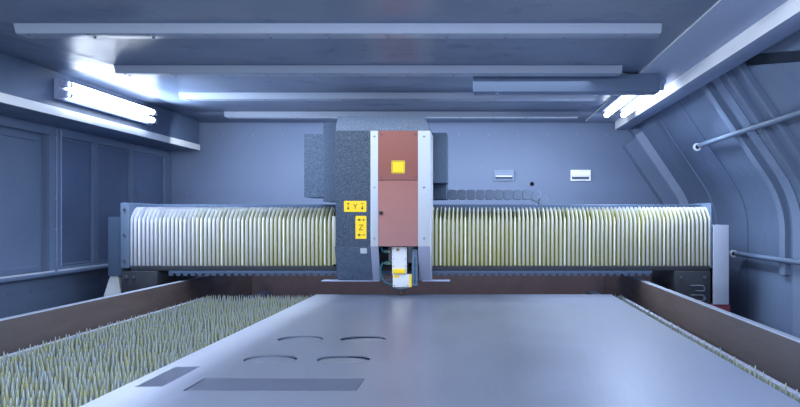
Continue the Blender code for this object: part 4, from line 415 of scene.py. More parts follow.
def addPrism(shape, outline, axis, low, high):
    # an outline in the other two axes, drawn out along this one
    spot = {"X": lambda u, v, w: (w, u, v), "Y": lambda u, v, w: (u, w, v),
            "Z": lambda u, v, w: (u, v, w)}[axis]
    near = [shape.verts.new(spot(u, v, low)) for u, v in outline]
    far = [shape.verts.new(spot(u, v, high)) for u, v in outline]
    shape.faces.new(near)
    shape.faces.new(far[::-1])
    for i in range(len(outline)):
        after = (i + 1) % len(outline)
        shape.faces.new((near[after], near[i], far[i], far[after]))


def circle(sides):
    return [(math.cos(2 * math.pi * k / sides), math.sin(2 * math.pi * k / sides)) for k in range(sides)]


def skin(shape, rings):
    # rings of points, capped at both ends and joined one after the other
    shape.faces.new(rings[0][::-1])
    shape.faces.new(rings[-1])
    for low, high in zip(rings, rings[1:]):
        for k in range(len(low)):
            after = (k + 1) % len(low)
            shape.faces.new((low[k], low[after], high[after], high[k]))


def addTurned(shape, profile, base, direction=(0, 0, 1), sides=24):
    # profile is (radius, distance) from one end to the other
    turn = Vector((0, 0, 1)).rotation_difference(Vector(direction).normalized()).to_matrix()
    skin(shape, [[shape.verts.new(Vector(base) + turn @ Vector((radius * c, radius * s, along)))
                  for c, s in circle(sides)] for radius, along in profile])


def addCopy(whole, piece, place):
    # a small shape, moved into place and joined to the whole
    bmesh.ops.transform(piece, matrix=place, verts=piece.verts)
    part = bpy.data.meshes.new("part")
    piece.to_mesh(part)
    whole.from_mesh(part)
    piece.free()
    bpy.data.meshes.remove(part)


def tubeMesh(name, points, radius, material, steps=6, sides=12):
    # a smooth tube through its points
    path = [Vector(p) for p in points]
    padded = [2 * path[0] - path[1], *path, 2 * path[-1] - path[-2]]
    line = []
    for a, b, c, d in zip(padded, padded[1:], padded[2:], padded[3:]):
        for k in range(steps):
            t = k / steps
            line.append(0.5 * (2 * b + (c - a) * t + (2 * a - 5 * b + 4 * c - d) * t * t
                               + (3 * b - a - 3 * c + d) * t ** 3))
    line.append(path[-1])
    shape = bmesh.new()
    rings = []
    side = None
    for i, point in enumerate(line):
        ahead = (line[min(i + 1, len(line) - 1)] - line[max(i - 1, 0)]).normalized()
        if side is None:
            side = ahead.orthogonal().normalized()
        side = (side - ahead * side.dot(ahead)).normalized()
        up = ahead.cross(side)
        rings.append([shape.verts.new(point + radius * (side * c + up * s)) for c, s in circle(sides)])
    skin(shape, rings)
    made = meshObject(name, shape, material)
    made.data.shade_smooth()
    return made


def repainted(made, material, where):
    # the faces that the test picks, by their middle and their normal, get another finish
    made.data.materials.append(material)
    index = len(made.data.materials) - 1
    for face in made.data.polygons:
        if where(face.center, face.normal):
            face.material_index = index
    return made


def refined(node, material, width, second=None, where=None, segments=2, angle=32, name=None):
    # the solid again, with its edges rounded as folded and welded sheet has them
    words = node.split("_")
    name = name or words[0] + "".join(word.title() for word in words[1:])
    shape = bmesh.new()
    shape.from_mesh(nodes[node].data)
    bmesh.ops.remove_doubles(shape, verts=shape.verts, dist=0.00005)
    bmesh.ops.dissolve_limit(shape, angle_limit=math.radians(1), verts=shape.verts, edges=shape.edges)
    mesh = bpy.data.meshes.new(name)
    shape.to_mesh(mesh)
    shape.free()
    mesh.materials.append(material)
    made = soften(placed(name, mesh), width, segments, angle)
    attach(made, nodes[node]["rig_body"])
    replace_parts(made, node)
    return repainted(made, second, where) if second else made


def ridden(made, body):
    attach(made, body)
    return made


view = {"place": (0.28, -2.87, 1.275), "lens": 40.5, "sensor": 36, "shift": (-0.0975, 0.018),
        "clip": (0.02, 60)}
lens = bpy.data.cameras.new("camera")
lens.lens = view["lens"]
lens.sensor_width = view["sensor"]
lens.shift_x, lens.shift_y = view["shift"]
lens.clip_start, lens.clip_end = view["clip"]
camera = placed("camera", lens)
camera.location = view["place"]
camera.rotation_euler = (math.pi / 2, 0, 0)
bpy.context.scene.camera = camera
bpy.context.scene.view_settings.view_transform = "Standard"


def softLight(name, place, aim, size, energy, colour=(1, 1, 1), unseen=False):
    # unseen lamps inside the cabin leave no reflection of their own
    lamp = bpy.data.lights.new(name, "AREA")
    lamp.shape = "RECTANGLE"
    lamp.size, lamp.size_y = size
    lamp.energy = energy
    lamp.color = colour
    made = placed(name, lamp)
    made.location = place
    made.rotation_euler = (Vector(aim) - Vector(place)).to_track_quat("-Z", "Y").to_euler()
    made.visible_camera = False
    made.visible_glossy = not unseen


softLight("keyLight", (-5.5, -7.5, 7.0), (0, 0, 0.8), (5, 5), 250)
softLight("fillLight", (7.5, -3.0, 5.5), (0, 0, 0.9), (5, 5), 140)
softLight("backLight", (2.5, 9.0, 6.5), (0, 0, 1.0), (5, 4), 170)
softLight("frontFill", (0.0, -2.22, 1.70), (0.1, 1.0, 1.20), (2.0, 0.16), 30, (0.86, 0.93, 1), True)
softLight("frontLow", (0.0, -2.10, 1.06), (0.1, 1.0, 1.80), (1.7, 0.10), 14, (0.86, 0.93, 1), True)
softLight("cabinFill", (-0.1, -0.5, 1.790), (-0.1, -0.5, 0.9), (1.6, 2.6), 40, (0.85, 0.92, 1), True)
softLight("rearFill", (-0.1, 1.72, 1.70), (-0.1, 2.33, 1.35), (2.2, 0.15), 10, (0.85, 0.92, 1), True)
softLight("leftTube", (-1.235, 0.96, 1.757), (0.2, 0.96, 1.0), (0.9, 0.06), 22, (0.82, 0.90, 1), True)
softLight("rightTube", (0.953, 1.12, 1.752), (0.6, 1.0, 0.6), (0.9, 0.15), 20, (0.82, 0.90, 1), True)

world = bpy.data.worlds.new("studio")
world.use_nodes = True
background = world.node_tree.nodes["Background"]
background.inputs["Color"].default_value = (0.93, 0.95, 1.0, 1)
background.inputs["Strength"].default_value = 0.60
bpy.context.scene.world = world

floorShape = bmesh.new()
addBox(floorShape, (-14, 14), (-14, 14), (-0.05, -0.0004))
floorPaint = Paint("studioFloor", 0.7)
floorPaint.set("Base Color", floorPaint.mix(floorPaint.noise(3, 3), (0.78, 0.79, 0.80), (0.82, 0.83, 0.84)))
studioFloor = meshObject("studioFloor", floorShape, floorPaint.material)
print("camera and lights ready")


def scatterTree(name):
    # copies of one small shape at a list of points, each turned, leaned and sized a little differently
    tree = bpy.data.node_groups.new(name, "GeometryNodeTree")
    for label, kind in (("Points", "Geometry"), ("Shape", "Object"), ("Turn", "Vector"),
                        ("Least", "Vector"), ("Most", "Vector"), ("Lean", "Vector"),
                        ("Seed", "Int"), ("Finish", "Material")):
        tree.interface.new_socket(label, in_out="INPUT", socket_type="NodeSocket" + kind)
    tree.interface.new_socket("Result", in_out="OUTPUT", socket_type="NodeSocketGeometry")

    def add(kind, **settings):
        made = tree.nodes.new(kind)
        for key, value in settings.items():
            setattr(made, key, value)
        return made

    source, result = add("NodeGroupInput"), add("NodeGroupOutput")
    info, place = add("GeometryNodeObjectInfo"), add("GeometryNodeInstanceOnPoints")
    leans = add("FunctionNodeRandomValue", data_type="FLOAT_VECTOR")
    sizes = add("FunctionNodeRandomValue", data_type="FLOAT_VECTOR")
    negative = add("ShaderNodeVectorMath", operation="SCALE")
    negative.inputs["Scale"].default_value = -1.0
    turned = add("ShaderNodeVectorMath", operation="ADD")
    plain, painted = add("GeometryNodeRealizeInstances"), add("GeometryNodeSetMaterial")
    for giver, out, taker, into in (
            (source, "Shape", info, "Object"), (source, "Points", place, "Points"),
            (info, "Geometry", place, "Instance"), (source, "Lean", negative, 0),
            (negative, 0, leans, "Min"), (source, "Lean", leans, "Max"), (source, "Seed", leans, "Seed"),
            (source, "Turn", turned, 0), (leans, 0, turned, 1), (turned, 0, place, "Rotation"),
            (source, "Least", sizes, "Min"), (source, "Most", sizes, "Max"),
            (source, "Seed", sizes, "Seed"), (sizes, 0, place, "Scale"),
            (place, "Instances", plain, "Geometry"),
            (plain, "Geometry", painted, "Geometry"), (source, "Finish", painted, "Material"),
            (painted, "Geometry", result, "Result")):
        tree.links.new(giver.outputs[out], taker.inputs[into])
    return tree


copiesTree = scatterTree("copiesAtPoints")


def copiesAt(name, points, shape, material, turn=(0, 0, 0), least=(1, 1, 1), most=(1, 1, 1),
             lean=(0, 0, 0), seed=1):
    cloud = bpy.data.meshes.new(name)
    cloud.from_pydata([tuple(p) for p in points], [], [])
    made = placed(name, cloud)
    step = made.modifiers.new("copies", "NODES")
    step.node_group = copiesTree
    wanted = {"Shape": shape, "Turn": turn, "Least": least, "Most": most, "Lean": lean, "Seed": seed,
              "Finish": material}
    for item in copiesTree.interface.items_tree:
        if item.name in wanted and item.in_out == "INPUT":
            step[item.identifier] = wanted[item.name]
    applied(made)
    bpy.data.objects.remove(shape)
    return smoothed(made)


quarter = math.pi / 2
facing = {"up": (0, 0, 0), "down": (math.pi, 0, 0), "front": (quarter, 0, 0), "right": (0, quarter, 0)}


def addHeads(body, name, spots, side, radius, tall, socket=True, material=screwSteel):
    # domed screw heads with a round recess, or rivet heads without one
    shape = bmesh.new()
    addTurned(shape, [(radius, 0), (radius, tall * 0.55), (radius * 0.82, tall)], (0, 0, 0), sides=12)
    top = max(shape.faces, key=lambda f: f.calc_center_median().z)
    if socket:
        bmesh.ops.inset_individual(shape, faces=[top], thickness=radius * 0.36)
        bmesh.ops.translate(shape, verts=top.verts, vec=(0, 0, -tall * 0.45))
    head = meshObject("screwShape", shape, screwSteel)
    ridden(copiesAt(name, spots, head, material, turn=facing[side]), body)


def makeRearPaint():
    # the rear wall: cabin paint that sparks have browned low down
    p = Paint("rearPaint", 0.46)
    patches = p.between(p.noise(2.2, 6, 0.62), 0.42, 0.72)
    fine = p.between(p.noise(900, 2, 0.5), 0.35, 0.65)
    dusty = p.mix(patches * 0.4, (0.125, 0.180, 0.320), (0.17, 0.225, 0.36))
    burnt = p.mix(p.noise(14, 6, 0.7), (0.050, 0.040, 0.055), (0.110, 0.080, 0.085))
    scorch = p.between(1.06 - p.axis("Z") + p.noise(6, 4) * 0.05, 0.0, 0.07)
    p.set("Base Color", p.mix(scorch, p.mix(fine * 0.3, dusty, (0.30, 0.37, 0.55)), burnt))
    p.set("Roughness", 0.46 + scorch * 0.25)
    p.bump(p.noise(420, 3, 0.5), 0.12, 0.0006)
    return p.material


def guardRods():
    # round bars along the right wall on short stand-offs, each with a bored ring beside its rear end
    look = {"radius": 0.010, "ring": 0.018, "ringLength": 0.012, "bore": 0.009, "boreEnd": 0.4,
            "front": -2.3197, "chamfer": 0.001, "ringChamfer": 0.0015, "stem": 0.007, "reach": 0.0335,
            "firstStem": 0.47, "endInset": 0.05, "apart": 0.0125,
            "rods": (("rod_upper", 1.2742, 1.600, 1.17, (0.829, 0, 0.559)),
                     ("rod_lower", 1.4560, 1.112, 1.23, (1, 0, 0)))}
    r, b, deep, bore = look["radius"], look["ring"], look["ringLength"], look["bore"]
    c, rc = look["chamfer"], look["ringChamfer"]
    for node, x, z, end, outward in look["rods"]:
        length = end - look["front"]
        shape = bmesh.new()
        addTurned(shape, [(r - c, 0), (r, c), (r, length - c), (r - c, length)], (x, look["front"], z),
                  (0, 1, 0), 32)
        for y in (look["firstStem"], end - look["endInset"]):
            addTurned(shape, [(look["stem"], 0), (look["stem"], look["reach"])], (x, y, z), outward, 20)
        bar = meshObject(node + "_bar", shape, platePaint)
        middle = Vector((x, end + deep * 0.5, z)) - Vector(outward) * look["apart"]
        shape = bmesh.new()
        addTurned(shape, [(b - rc, 0), (b, rc), (b, deep - rc), (b - rc, deep), (bore, deep),
                          (bore, deep * look["boreEnd"])], middle, (0, -1, 0), 32)
        floor = middle.y - deep * (look["boreEnd"] + 0.05)
        # painted shade: the floor of the ring's bore is painted black
        ring = repainted(meshObject(node + "_ring", shape, stripPaint), rubberBlack,
                         lambda c, n: n.y < -0.5 and c.y > floor)
        for made in (bar, ring):
            ridden(smoothed(made, 35), "machine")
        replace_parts(bar, node)


def cabinPanels():
    edge = 0.003
    refined("left_wall", cabinPaint, edge, outerPaint,
            lambda c, n: n.x < -0.35 or (c.x < -1.505 and abs(c.y) > 2.2))
    rightWall = refined("right_wall", cabinPaint, edge, outerPaint,
                        lambda c, n: n.x + 0.6 * n.z > 0.1 or c.x > 1.53)
    repainted(rightWall, bandPaint, lambda c, n: 0.61 < c.y < 0.70 and n.x < -0.1)
    refined("rear_wall", makeRearPaint(), edge, outerPaint, lambda c, n: c.y > 2.3318)
    roofPanel = refined("roof", ceilingPaint, edge, outerPaint, lambda c, n: c.z > 1.8265, name="roofPanel")
    repainted(roofPanel, ribPaint, lambda c, n: c.z < 1.816 and (n.z < -0.6 or n.y < -0.6))
    refined("front_portal", outerPaint, 0.005, cabinPaint, lambda c, n: n.y > 0.5, segments=3)
    refined("left_door", outerPaint, edge, cabinPaint, lambda c, n: n.x > -0.2)
    refined("right_door", outerPaint, edge, cabinPaint, lambda c, n: n.x + 0.6 * n.z < 0.1)
    refined("front_door", outerPaint, edge)
    refined("scrap_drawer", bedPaint, 0.0015, outerPaint, lambda c, n: c.y > 2.372)
    refined("base_frame", bedPaint, 0.004, name="bedFrame")
    refined("sensor_beam", cabinPaint, 0.0025)
    # the rails' inner bands are light paint, painted near-white for the lamp light falling on them: partly
    # real paint, partly painted light
    refined("lamp_rail_left", cabinPaint, 0.001, railPaint, lambda c, n: n.x > 0.6 and c.z < 1.690)
    refined("lamp_rail_right", cabinLight, 0.001, railPaint, lambda c, n: n.x < -0.6)
    # the guard plates' top faces get the lighter rib paint: a painted highlight along their top edges
    for name, node in (("guardLeft", "guard_plate_left"), ("guardRight", "guard_plate_right")):
        refined(node, guardSteel, 0.001, ribPaint, lambda c, n: n.z > 0.35, name=name)
    handle = {"inset": 0.010, "front": 0.0004, "back": 0.0040, "z": (1.512, 1.5195), "recess": 2.322}
    for node, rim in (("pull_handle_left", cabinLight), ("pull_handle_right", railPaint)):
        # painted shade: the back face of each handle's recess is painted dark
        made = refined(node, rim, 0.0015, postPaint, lambda c, n: n.y < -0.5 and c.y > handle["recess"])
        low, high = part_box(node)
        bar = bmesh.new()
        addBox(bar, (low.x + handle["inset"], high.x - handle["inset"]),
               (low.y + handle["front"], low.y + handle["back"]), handle["z"])
        bar = soften(meshObject(made.name + "Bar", bar, railPaint), 0.0008)
        ridden(bar, "machine")
    guardRods()


cabinPanels()


def leftFields():
    # recessed panels with thin beads in the left wall's frames, and a bright sill strip below
    look = {"fields": ((-2.20, -1.60), (-1.54, -1.00), (0.96, 1.27), (1.33, 1.71), (1.75, 2.22)),
            "bottom": 1.07, "top": 1.62, "back": -1.502, "gap": 0.0003, "panel": 0.003, "clear": 0.002,
            "bead": 0.009, "beadTall": 0.005, "wall": -1.4897, "proud": 0.003,
            "sills": ((-2.26, -0.96), (-0.94, 0.89), (0.92, 2.26)), "sillZ": (1.044, 1.056),
            "trims": ((0.906, 0.911), (0.944, 0.952)), "trimOver": 0.03}
    shape, beads = bmesh.new(), bmesh.new()
    clear, b = look["clear"], look["bead"]
    z = (look["bottom"] + clear, look["top"] - clear)
    face = look["back"] + look["panel"]
    inner = (face, face + look["beadTall"])
    for low, high in look["fields"]:
        addBox(shape, (look["back"] + look["gap"], face), (low + clear, high - clear), z)
        for y, height in (((low + clear, low + b), z), ((high - b, high - clear), z),
                          ((low + b, high - b), (z[0], look["bottom"] + b)),
                          ((low + b, high - b), (look["top"] - b, z[1]))):
            addBox(beads, inner, y, height)
    x = (look["wall"], look["wall"] + look["proud"])
    for y in look["trims"]:
        addBox(beads, x, y, (look["bottom"], look["top"] + look["trimOver"]))
    for y in look["sills"]:
        addBox(beads, x, y, look["sillZ"])
    ridden(soften(meshObject("leftPanels", shape, fieldPaint), 0.0008, 1), "machine")
    made = soften(meshObject("leftBeads", beads, platePaint), 0.001, 1)
    # painted highlight: the two trims beside the opening's rear reveal are painted light for its lit edges
    repainted(made, cabinLight, lambda c, n: 0.90 < c.y < 0.955 and c.z > 1.06)
    ridden(repainted(made, stripPaint, lambda c, n: c.z < 1.06), "machine")


leftFields()


rightWallLook = {"wall": 1.4897, "bendStart": 1.2203, "radius": 0.40, "bend": 34, "steps": 8,
                 "foot": 0.80, "top": 1.8195}


def wallOutline(foot, top, proud):
    # the right wall's inner line from foot to top, and back again a little way off it
    look = rightWallLook
    line = [(look["wall"], foot, 0.0)]
    for k in range(look["steps"] + 1):
        angle = math.radians(look["bend"]) * k / look["steps"]
        line.append((look["wall"] - look["radius"] * (1 - math.cos(angle)),
                     look["bendStart"] + look["radius"] * math.sin(angle), angle))
    x, z, angle = line[-1]
    line.append((x - (top - z) * math.tan(angle), top, angle))
    inner = [(x - proud * math.cos(angle), z - proud * math.sin(angle)) for x, z, angle in line]
    return [(x, z) for x, z, _ in line] + inner[::-1]


def rightStrips():
    # what follows the bend of the right wall: a dark and a bright seam, a flat rib, the duct in the corner
    foot, top = rightWallLook["foot"], rightWallLook["top"]
    strips = (("rightSeamDark", (1.158, 1.168), (foot, top), 0.0025, 0.0006, postPaint),
              ("rightSeamLight", (1.688, 1.693), (0.99, top), 0.0020, 0.0006, cabinLight),
              ("rightRib", (0.478, 0.575), (foot, top), 0.0050, 0.0006, bandPaint),
              ("cornerStrip", (2.195, 2.2345), (1.30, 1.765), 0.0450, 0.003, cabinLight),
              ("cornerDuct", (2.2350, 2.3280), (1.30, 1.755), 0.1200, 0.003, bandPaint))
    for name, y, reach, proud, edge, finish in strips:
        shape = bmesh.new()
        addPrism(shape, wallOutline(*reach, proud), "Y", *y)
        ridden(soften(meshObject(name, shape, finish), edge, 1), "machine")


rightStrips()


def rivetLines():
    # rows of rivets: along the ceiling ribs, the rear wall's edge and the left wall's posts
    look = {"radius": 0.0045, "tall": 0.0022, "pitch": 0.17, "firstRib": -1.684, "ribPitch": 0.70,
            "ribSide": 0.022, "ribZ": 1.797, "rearY": 2.3297, "rearRows": (1.755, 1.05),
            "rearPosts": (-1.40, -0.62, 0.30), "leftX": -1.49, "leftRow": 0.985,
            "leftPosts": (-1.57, -0.95, 0.905, 1.30, 1.73, 2.27)}
    pitch, rearY, leftX = look["pitch"], look["rearY"], look["leftX"]
    ribs = [look["firstRib"] + look["ribPitch"] * n for n in range(6)]
    down = [(-1.0 + pitch * k, y + side * look["ribSide"], look["ribZ"])
            for y in ribs for side in (-1, 1) for k in range(11)]
    rear = [(-1.36 + pitch * k, rearY, z) for k in range(15) for z in look["rearRows"]]
    rear += [(x, rearY, 1.12 + 0.15 * k) for x in look["rearPosts"] for k in range(4)]
    left = [(leftX, y, 1.10 + 0.128 * k) for y in look["leftPosts"] for k in range(5)]
    left += [(leftX, -2.2 + pitch * k, look["leftRow"]) for k in range(27)]
    for name, spots, side, finish in (("ceilingRivets", down, "down", screwSteel),
                                      ("rearRivets", rear, "front", cabinLight),
                                      ("leftRivets", left, "right", screwSteel)):
        addHeads("machine", name, spots, side, look["radius"], look["tall"], False, finish)


rivetLines()


def rearGrommets():
    # two small cable holes in the rear wall
    look = {"face": 2.3297, "holes": ((0.592, 1.471), (0.569, 1.419)),
            "profile": [(0.012, 0), (0.012, 0.004), (0.007, 0.006), (0.006, 0.002)]}
    shape = bmesh.new()
    for x, z in look["holes"]:
        addTurned(shape, look["profile"], (x, look["face"], z), (0, -1, 0), 20)
    made = soften(meshObject("rearGrommets", shape, rubberBlack), 0.0005, 1)
    ridden(made, "machine")


rearGrommets()


def louvreShape(width):
    # one pressed louvre, open at its foot: lies in X and Z and stands out towards -Y
    shape = bmesh.new()
    outline = [(0.0, 0.0), (-0.0085, 0.0005), (-0.0080, 0.0040), (-0.0055, 0.0120), (-0.0015, 0.0175),
               (0.0, 0.0180)]
    addPrism(shape, outline, "X", -width / 2, width / 2)
    return soften(meshObject("louvreShape", shape, outerPaint), 0.0012, 1)


def outsideTrim():
    # generic ventilation louvres on two outer sides and grips on the front door
    look = {"pitch": 0.030, "rows": 8, "width": 0.30, "leftX": -1.5199, "leftY": (-1.85, -1.45, 1.45, 1.85),
            "leftFoot": 0.30, "rearX": (-1.05, 1.05), "rearY": 2.3699, "rearFoot": 1.38,
            "doorFront": -2.4345, "grip": (0.085, 0.016, 0.0045), "gripX": 0.62, "gripZ": 0.7535}
    steps = [look["pitch"] * k for k in range(look["rows"])]
    left = [(look["leftX"], y, look["leftFoot"] + step) for y in look["leftY"] for step in steps]
    rear = [(x, look["rearY"], look["rearFoot"] + step) for x in look["rearX"] for step in steps]
    for name, spots, turn in (("leftLouvres", left, -math.pi / 2), ("rearLouvres", rear, math.pi)):
        made = copiesAt(name, spots, louvreShape(look["width"]), outerPaint, turn=(0, 0, turn))
        ridden(made, "machine")
    shape = bmesh.new()
    wide, tall, deep = look["grip"]
    z, front = look["gripZ"], look["doorFront"]
    for x in (-look["gripX"], look["gripX"]):
        addBox(shape, (x - wide, x + wide), (front - deep, front), (z - tall, z + tall))
    made = soften(meshObject("frontDoorGrips", shape, blackPlastic), 0.003, 3)
    ridden(made, "front_door")


outsideTrim()
print("cabin ready")


def tubeLamps():
    # a tray on the wall or roof, a reflector and two holders, with a glowing tube between them
    look = {"length": 0.90, "cap": 0.03, "radius": 0.013, "stand": 0.038, "spacing": 0.038, "tray": 0.02,
            "reflector": (0.024, 0.008, 0.1), "holderFoot": 0.018, "overlap": 0.001, "round": 0.004,
            "collar": 0.02, "lamps": (("lamp_left", (-1.2997, 0.48, 1.757), (1, 0, 0), (-0.5, 0.5)),
                                      ("lamp_right_inner", (0.912, 0.64, 1.8187), (0, 0, -1), (0,)),
                                      ("lamp_right_outer", (0.994, 0.64, 1.8187), (0, 0, -1), (0,)))}
    r, cap, tray, collar, rounded = (look[key] for key in ("radius", "cap", "tray", "collar", "round"))
    top, half, inset = look["reflector"]
    for node, seat, away, shifts in look["lamps"]:
        away, seat = Vector(away), Vector(seat)
        side = Vector((away.z, 0, away.x))
        body, glass, ends = bmesh.new(), bmesh.new(), bmesh.new()

        def slab(near, far, half, low, high, shift=0.0):
            a = seat + away * near + side * (shift - half)
            b = seat + away * far + side * (shift + half)
            addBox(body, tuple(sorted((a.x, b.x))), (low, high), tuple(sorted((a.z, b.z))))

        start = seat.y
        end = start + (look["length"] + 2 * cap)
        slab(0, tray, tray + shifts[-1] * look["spacing"], start, end)
        first = start + cap - look["overlap"]
        length = look["length"] + 2 * look["overlap"]
        for shift in shifts:
            shift *= look["spacing"]
            slab(tray, top, half, start + inset, end - inset, shift)
            for low in (start, start + (look["length"] + 2 * cap) - cap):
                slab(look["holderFoot"], look["stand"] + r / 2, r * 0.95, low, low + cap, shift)
            middle = seat + away * look["stand"] + side * shift
            addTurned(glass, [(r * 0.99, 0), (r, rounded), (r, length - rounded), (r * 0.99, length)],
                      (middle.x, first, middle.z), (0, 1, 0), 24)
            for low in (first, first + length - collar):
                addTurned(ends, [(r * 1.03, 0), (r * 1.03, collar)], (middle.x, low, middle.z),
                          (0, 1, 0), 24)
        fitting = soften(meshObject(node + "_fitting", body, cabinLight), 0.0012)
        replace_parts(ridden(fitting, "machine"), node)
        ridden(smoothed(meshObject(node + "_tube", glass, lampGlow), 40), "machine")
        caps = soften(meshObject(node + "_caps", ends, machinedSteel), 0.0008, 1)
        ridden(caps, "machine")


tubeLamps()
print("lamps ready")


palletLook = {
    "front": -2.20, "rear": 1.15, "bar": (0.905, 0.965), "bottom": 0.8553, "barTop": 0.8903,
    "endBar": 0.05, "slatPitch": 0.07, "slatThick": 0.003, "slatFoot": 0.8583, "root": 0.9053,
    "tip": 0.9463, "toothPitch": 0.010, "shoulder": 0.42, "shoulderWidth": 0.62, "jitter": 0.0016,
}


def palletBars():
    look = palletLook
    inner, outer = look["bar"]
    z = (look["bottom"], look["barTop"])
    shape = bmesh.new()
    for side in (-1, 1):
        addBox(shape, tuple(sorted((side * inner, side * outer))), (look["front"], look["rear"]), z)
    for low in (look["front"], look["rear"] - look["endBar"]):
        addBox(shape, (-inner, inner), (low, low + look["endBar"]), z)
    made = soften(meshObject("palletBars", shape, barSteel), 0.002, 2)
    ridden(made, "pallet")
    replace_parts(made, "pallet")


def toothShape():
    # one pointed tooth of a slat, few-sided because thousands of it stand on the pallet
    look = palletLook
    half = look["toothPitch"] / 2
    tall = look["tip"] - look["root"]
    t = look["slatThick"] / 2
    wide, high = half * look["shoulderWidth"], tall * look["shoulder"]
    outline = [(-half, -0.002), (half, -0.002), (wide, high), (0, tall), (-wide, high)]
    shape = bmesh.new()
    addPrism(shape, outline, "Y", -t, t)
    return meshObject("toothShape", shape, slatSteel)


def slatRows():
    look = palletLook
    first = look["front"] + look["endBar"] + look["slatPitch"] / 2
    last = look["rear"] - look["endBar"] - look["slatPitch"] / 2
    count = int((last - first) / look["slatPitch"]) + 1
    reach = look["bar"][0]
    strips = bmesh.new()
    t = look["slatThick"] / 2
    for n in range(count):
        y = first + n * look["slatPitch"]
        addBox(strips, (-reach, reach), (y - t, y + t), (look["slatFoot"], look["root"]))
    made = meshObject("slatStrips", strips, slatSteel)
    ridden(made, "pallet")
    pitch = look["toothPitch"]
    teeth = int(2 * reach / pitch) - 1
    chance = random.Random(11)
    spots = []
    for n in range(count):
        y = first + n * look["slatPitch"]
        shift = chance.uniform(0, pitch)
        for k in range(teeth):
            x = -reach + shift + (k + 0.5) * pitch + chance.uniform(-1, 1) * look["jitter"]
            spots.append((min(max(x, -reach + pitch / 2), reach - pitch / 2), y, look["root"]))
    made = copiesAt("slatTeeth", spots, toothShape(), slatSteel, least=(0.9, 1, 0.82),
                    most=(1.1, 1.2, 0.99), lean=(0.06, 0.07, 0.2), seed=7)
    ridden(made, "pallet")
    print("teeth:", len(spots))


def slatLedges():
    # folded ledges on the side bars, against which the slats' ends stand
    look = palletLook
    ledge = {"wide": 0.016, "top": 0.9270, "lip": 0.0006}
    shape = bmesh.new()
    inner = look["bar"][0] + ledge["lip"]
    for side in (-1, 1):
        x = tuple(sorted((side * inner, side * (inner + ledge["wide"]))))
        addBox(shape, x, (look["front"], look["rear"]), (look["barTop"], ledge["top"]))
    made = soften(meshObject("slatLedges", shape, slatSteel), 0.0015, 2)
    ridden(repainted(made, shadePaint, lambda c, n: n.z > 0.35), "pallet")


palletBars()
slatLedges()
slatRows()


sheetLook = {
    "x": (-0.405, 0.845), "y": (-2.05, 0.95), "z": (0.9466, 0.9506), "radius": 0.061,
    "holes": ((-0.197, -0.80), (-0.029, -0.80), (-0.197, -0.453), (-0.029, -0.453)),
    "slugTilt": ((0.02, 0.015), (-0.015, 0.02), (0.02, -0.01), (-0.02, -0.02)),
    "slugGap": 0.004, "slugDrop": 0.0045, "slugTall": 0.004, "slugEdge": 0.0004,
    "kerf": 0.002, "partDrop": 0.0015, "cutOver": 0.004,
    "parts": (((-0.275, 0.051), (-1.180, -1.045)), ((-0.380, -0.327), (-1.14, -0.90))),
}


def workSheet():
    # the flat sheet with its four discs and two strips cut out
    look = sheetLook
    shape, tools = bmesh.new(), bmesh.new()
    addBox(shape, look["x"], look["y"], look["z"])
    plate = meshObject("workSheet", shape, workSteel)
    low, high = look["z"][0] - look["cutOver"], look["z"][1] + look["cutOver"]
    for x, y in look["holes"]:
        addTurned(tools, [(look["radius"], 0), (look["radius"], high - low)], (x, y, low), sides=64)
    for x, y in look["parts"]:
        addBox(tools, x, y, (low, high))
    tool = meshObject("cutter", tools, workSteel)
    step = plate.modifiers.new("cuts", "BOOLEAN")
    step.operation = "DIFFERENCE"
    step.object = tool
    applied(plate)
    bpy.data.objects.remove(tool)
    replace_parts(ridden(soften(plate, 0.0005, 1), "pallet"), "work_sheet")


def slugs():
    # the cut discs have dropped a little and lean in their holes; two cut strips have sunk too
    look = sheetLook
    shape = bmesh.new()
    middle = sum(look["z"]) / 2 - look["slugDrop"]
    r, tall, edge = look["radius"] - look["slugGap"], look["slugTall"], look["slugEdge"]
    for (x, y), (tiltX, tiltY) in zip(look["holes"], look["slugTilt"]):
        disc = bmesh.new()
        addTurned(disc, [(r - edge, 0), (r, edge), (r, tall - edge), (r - edge, tall)],
                  (0, 0, -tall / 2), sides=64)
        turn = Matrix.Rotation(tiltX, 4, "X") @ Matrix.Rotation(tiltY, 4, "Y")
        addCopy(shape, disc, Matrix.Translation((x, y, middle)) @ turn)
    # the discs' light steel is a painted highlight
    ridden(smoothed(meshObject("cutDiscs", shape, slugSteel), 30), "pallet")
    shape = bmesh.new()
    k = look["kerf"]
    z = tuple(z - look["partDrop"] for z in look["z"])
    for x, y in look["parts"]:
        addBox(shape, (x[0] + k, x[1] - k), (y[0] + k, y[1] - k), z)
    ridden(soften(meshObject("cutStrips", shape, dullSheet), 0.0005, 1), "pallet")


workSheet()
slugs()
print("bed ready")


bellowsLook = {"front": 1.00, "bottom": 1.0688, "shoulder": 1.2815, "top": 1.323, "chamfer": 0.075,
               "depth": 0.128, "fold": 0.012, "topFold": 0.036, "pitch": 0.0178, "parts": 8,
               "cloth": 0.0016, "valley": (0.50, 0.56), "crest": 0.30, "wireCrest": 0.14, "rise": 0.76,
               "wireRise": 0.86, "crestInset": (0.0010, 0.0012), "crestTop": 0.012}


def smoothInverse(share):
    # the t whose t*t*(3-2t) is share
    low, high = 0.0, 1.0
    for _ in range(50):
        middle = (low + high) / 2
        if middle * middle * (3 - 2 * middle) < share:
            low = middle
        else:
            high = middle
    return (low + high) / 2


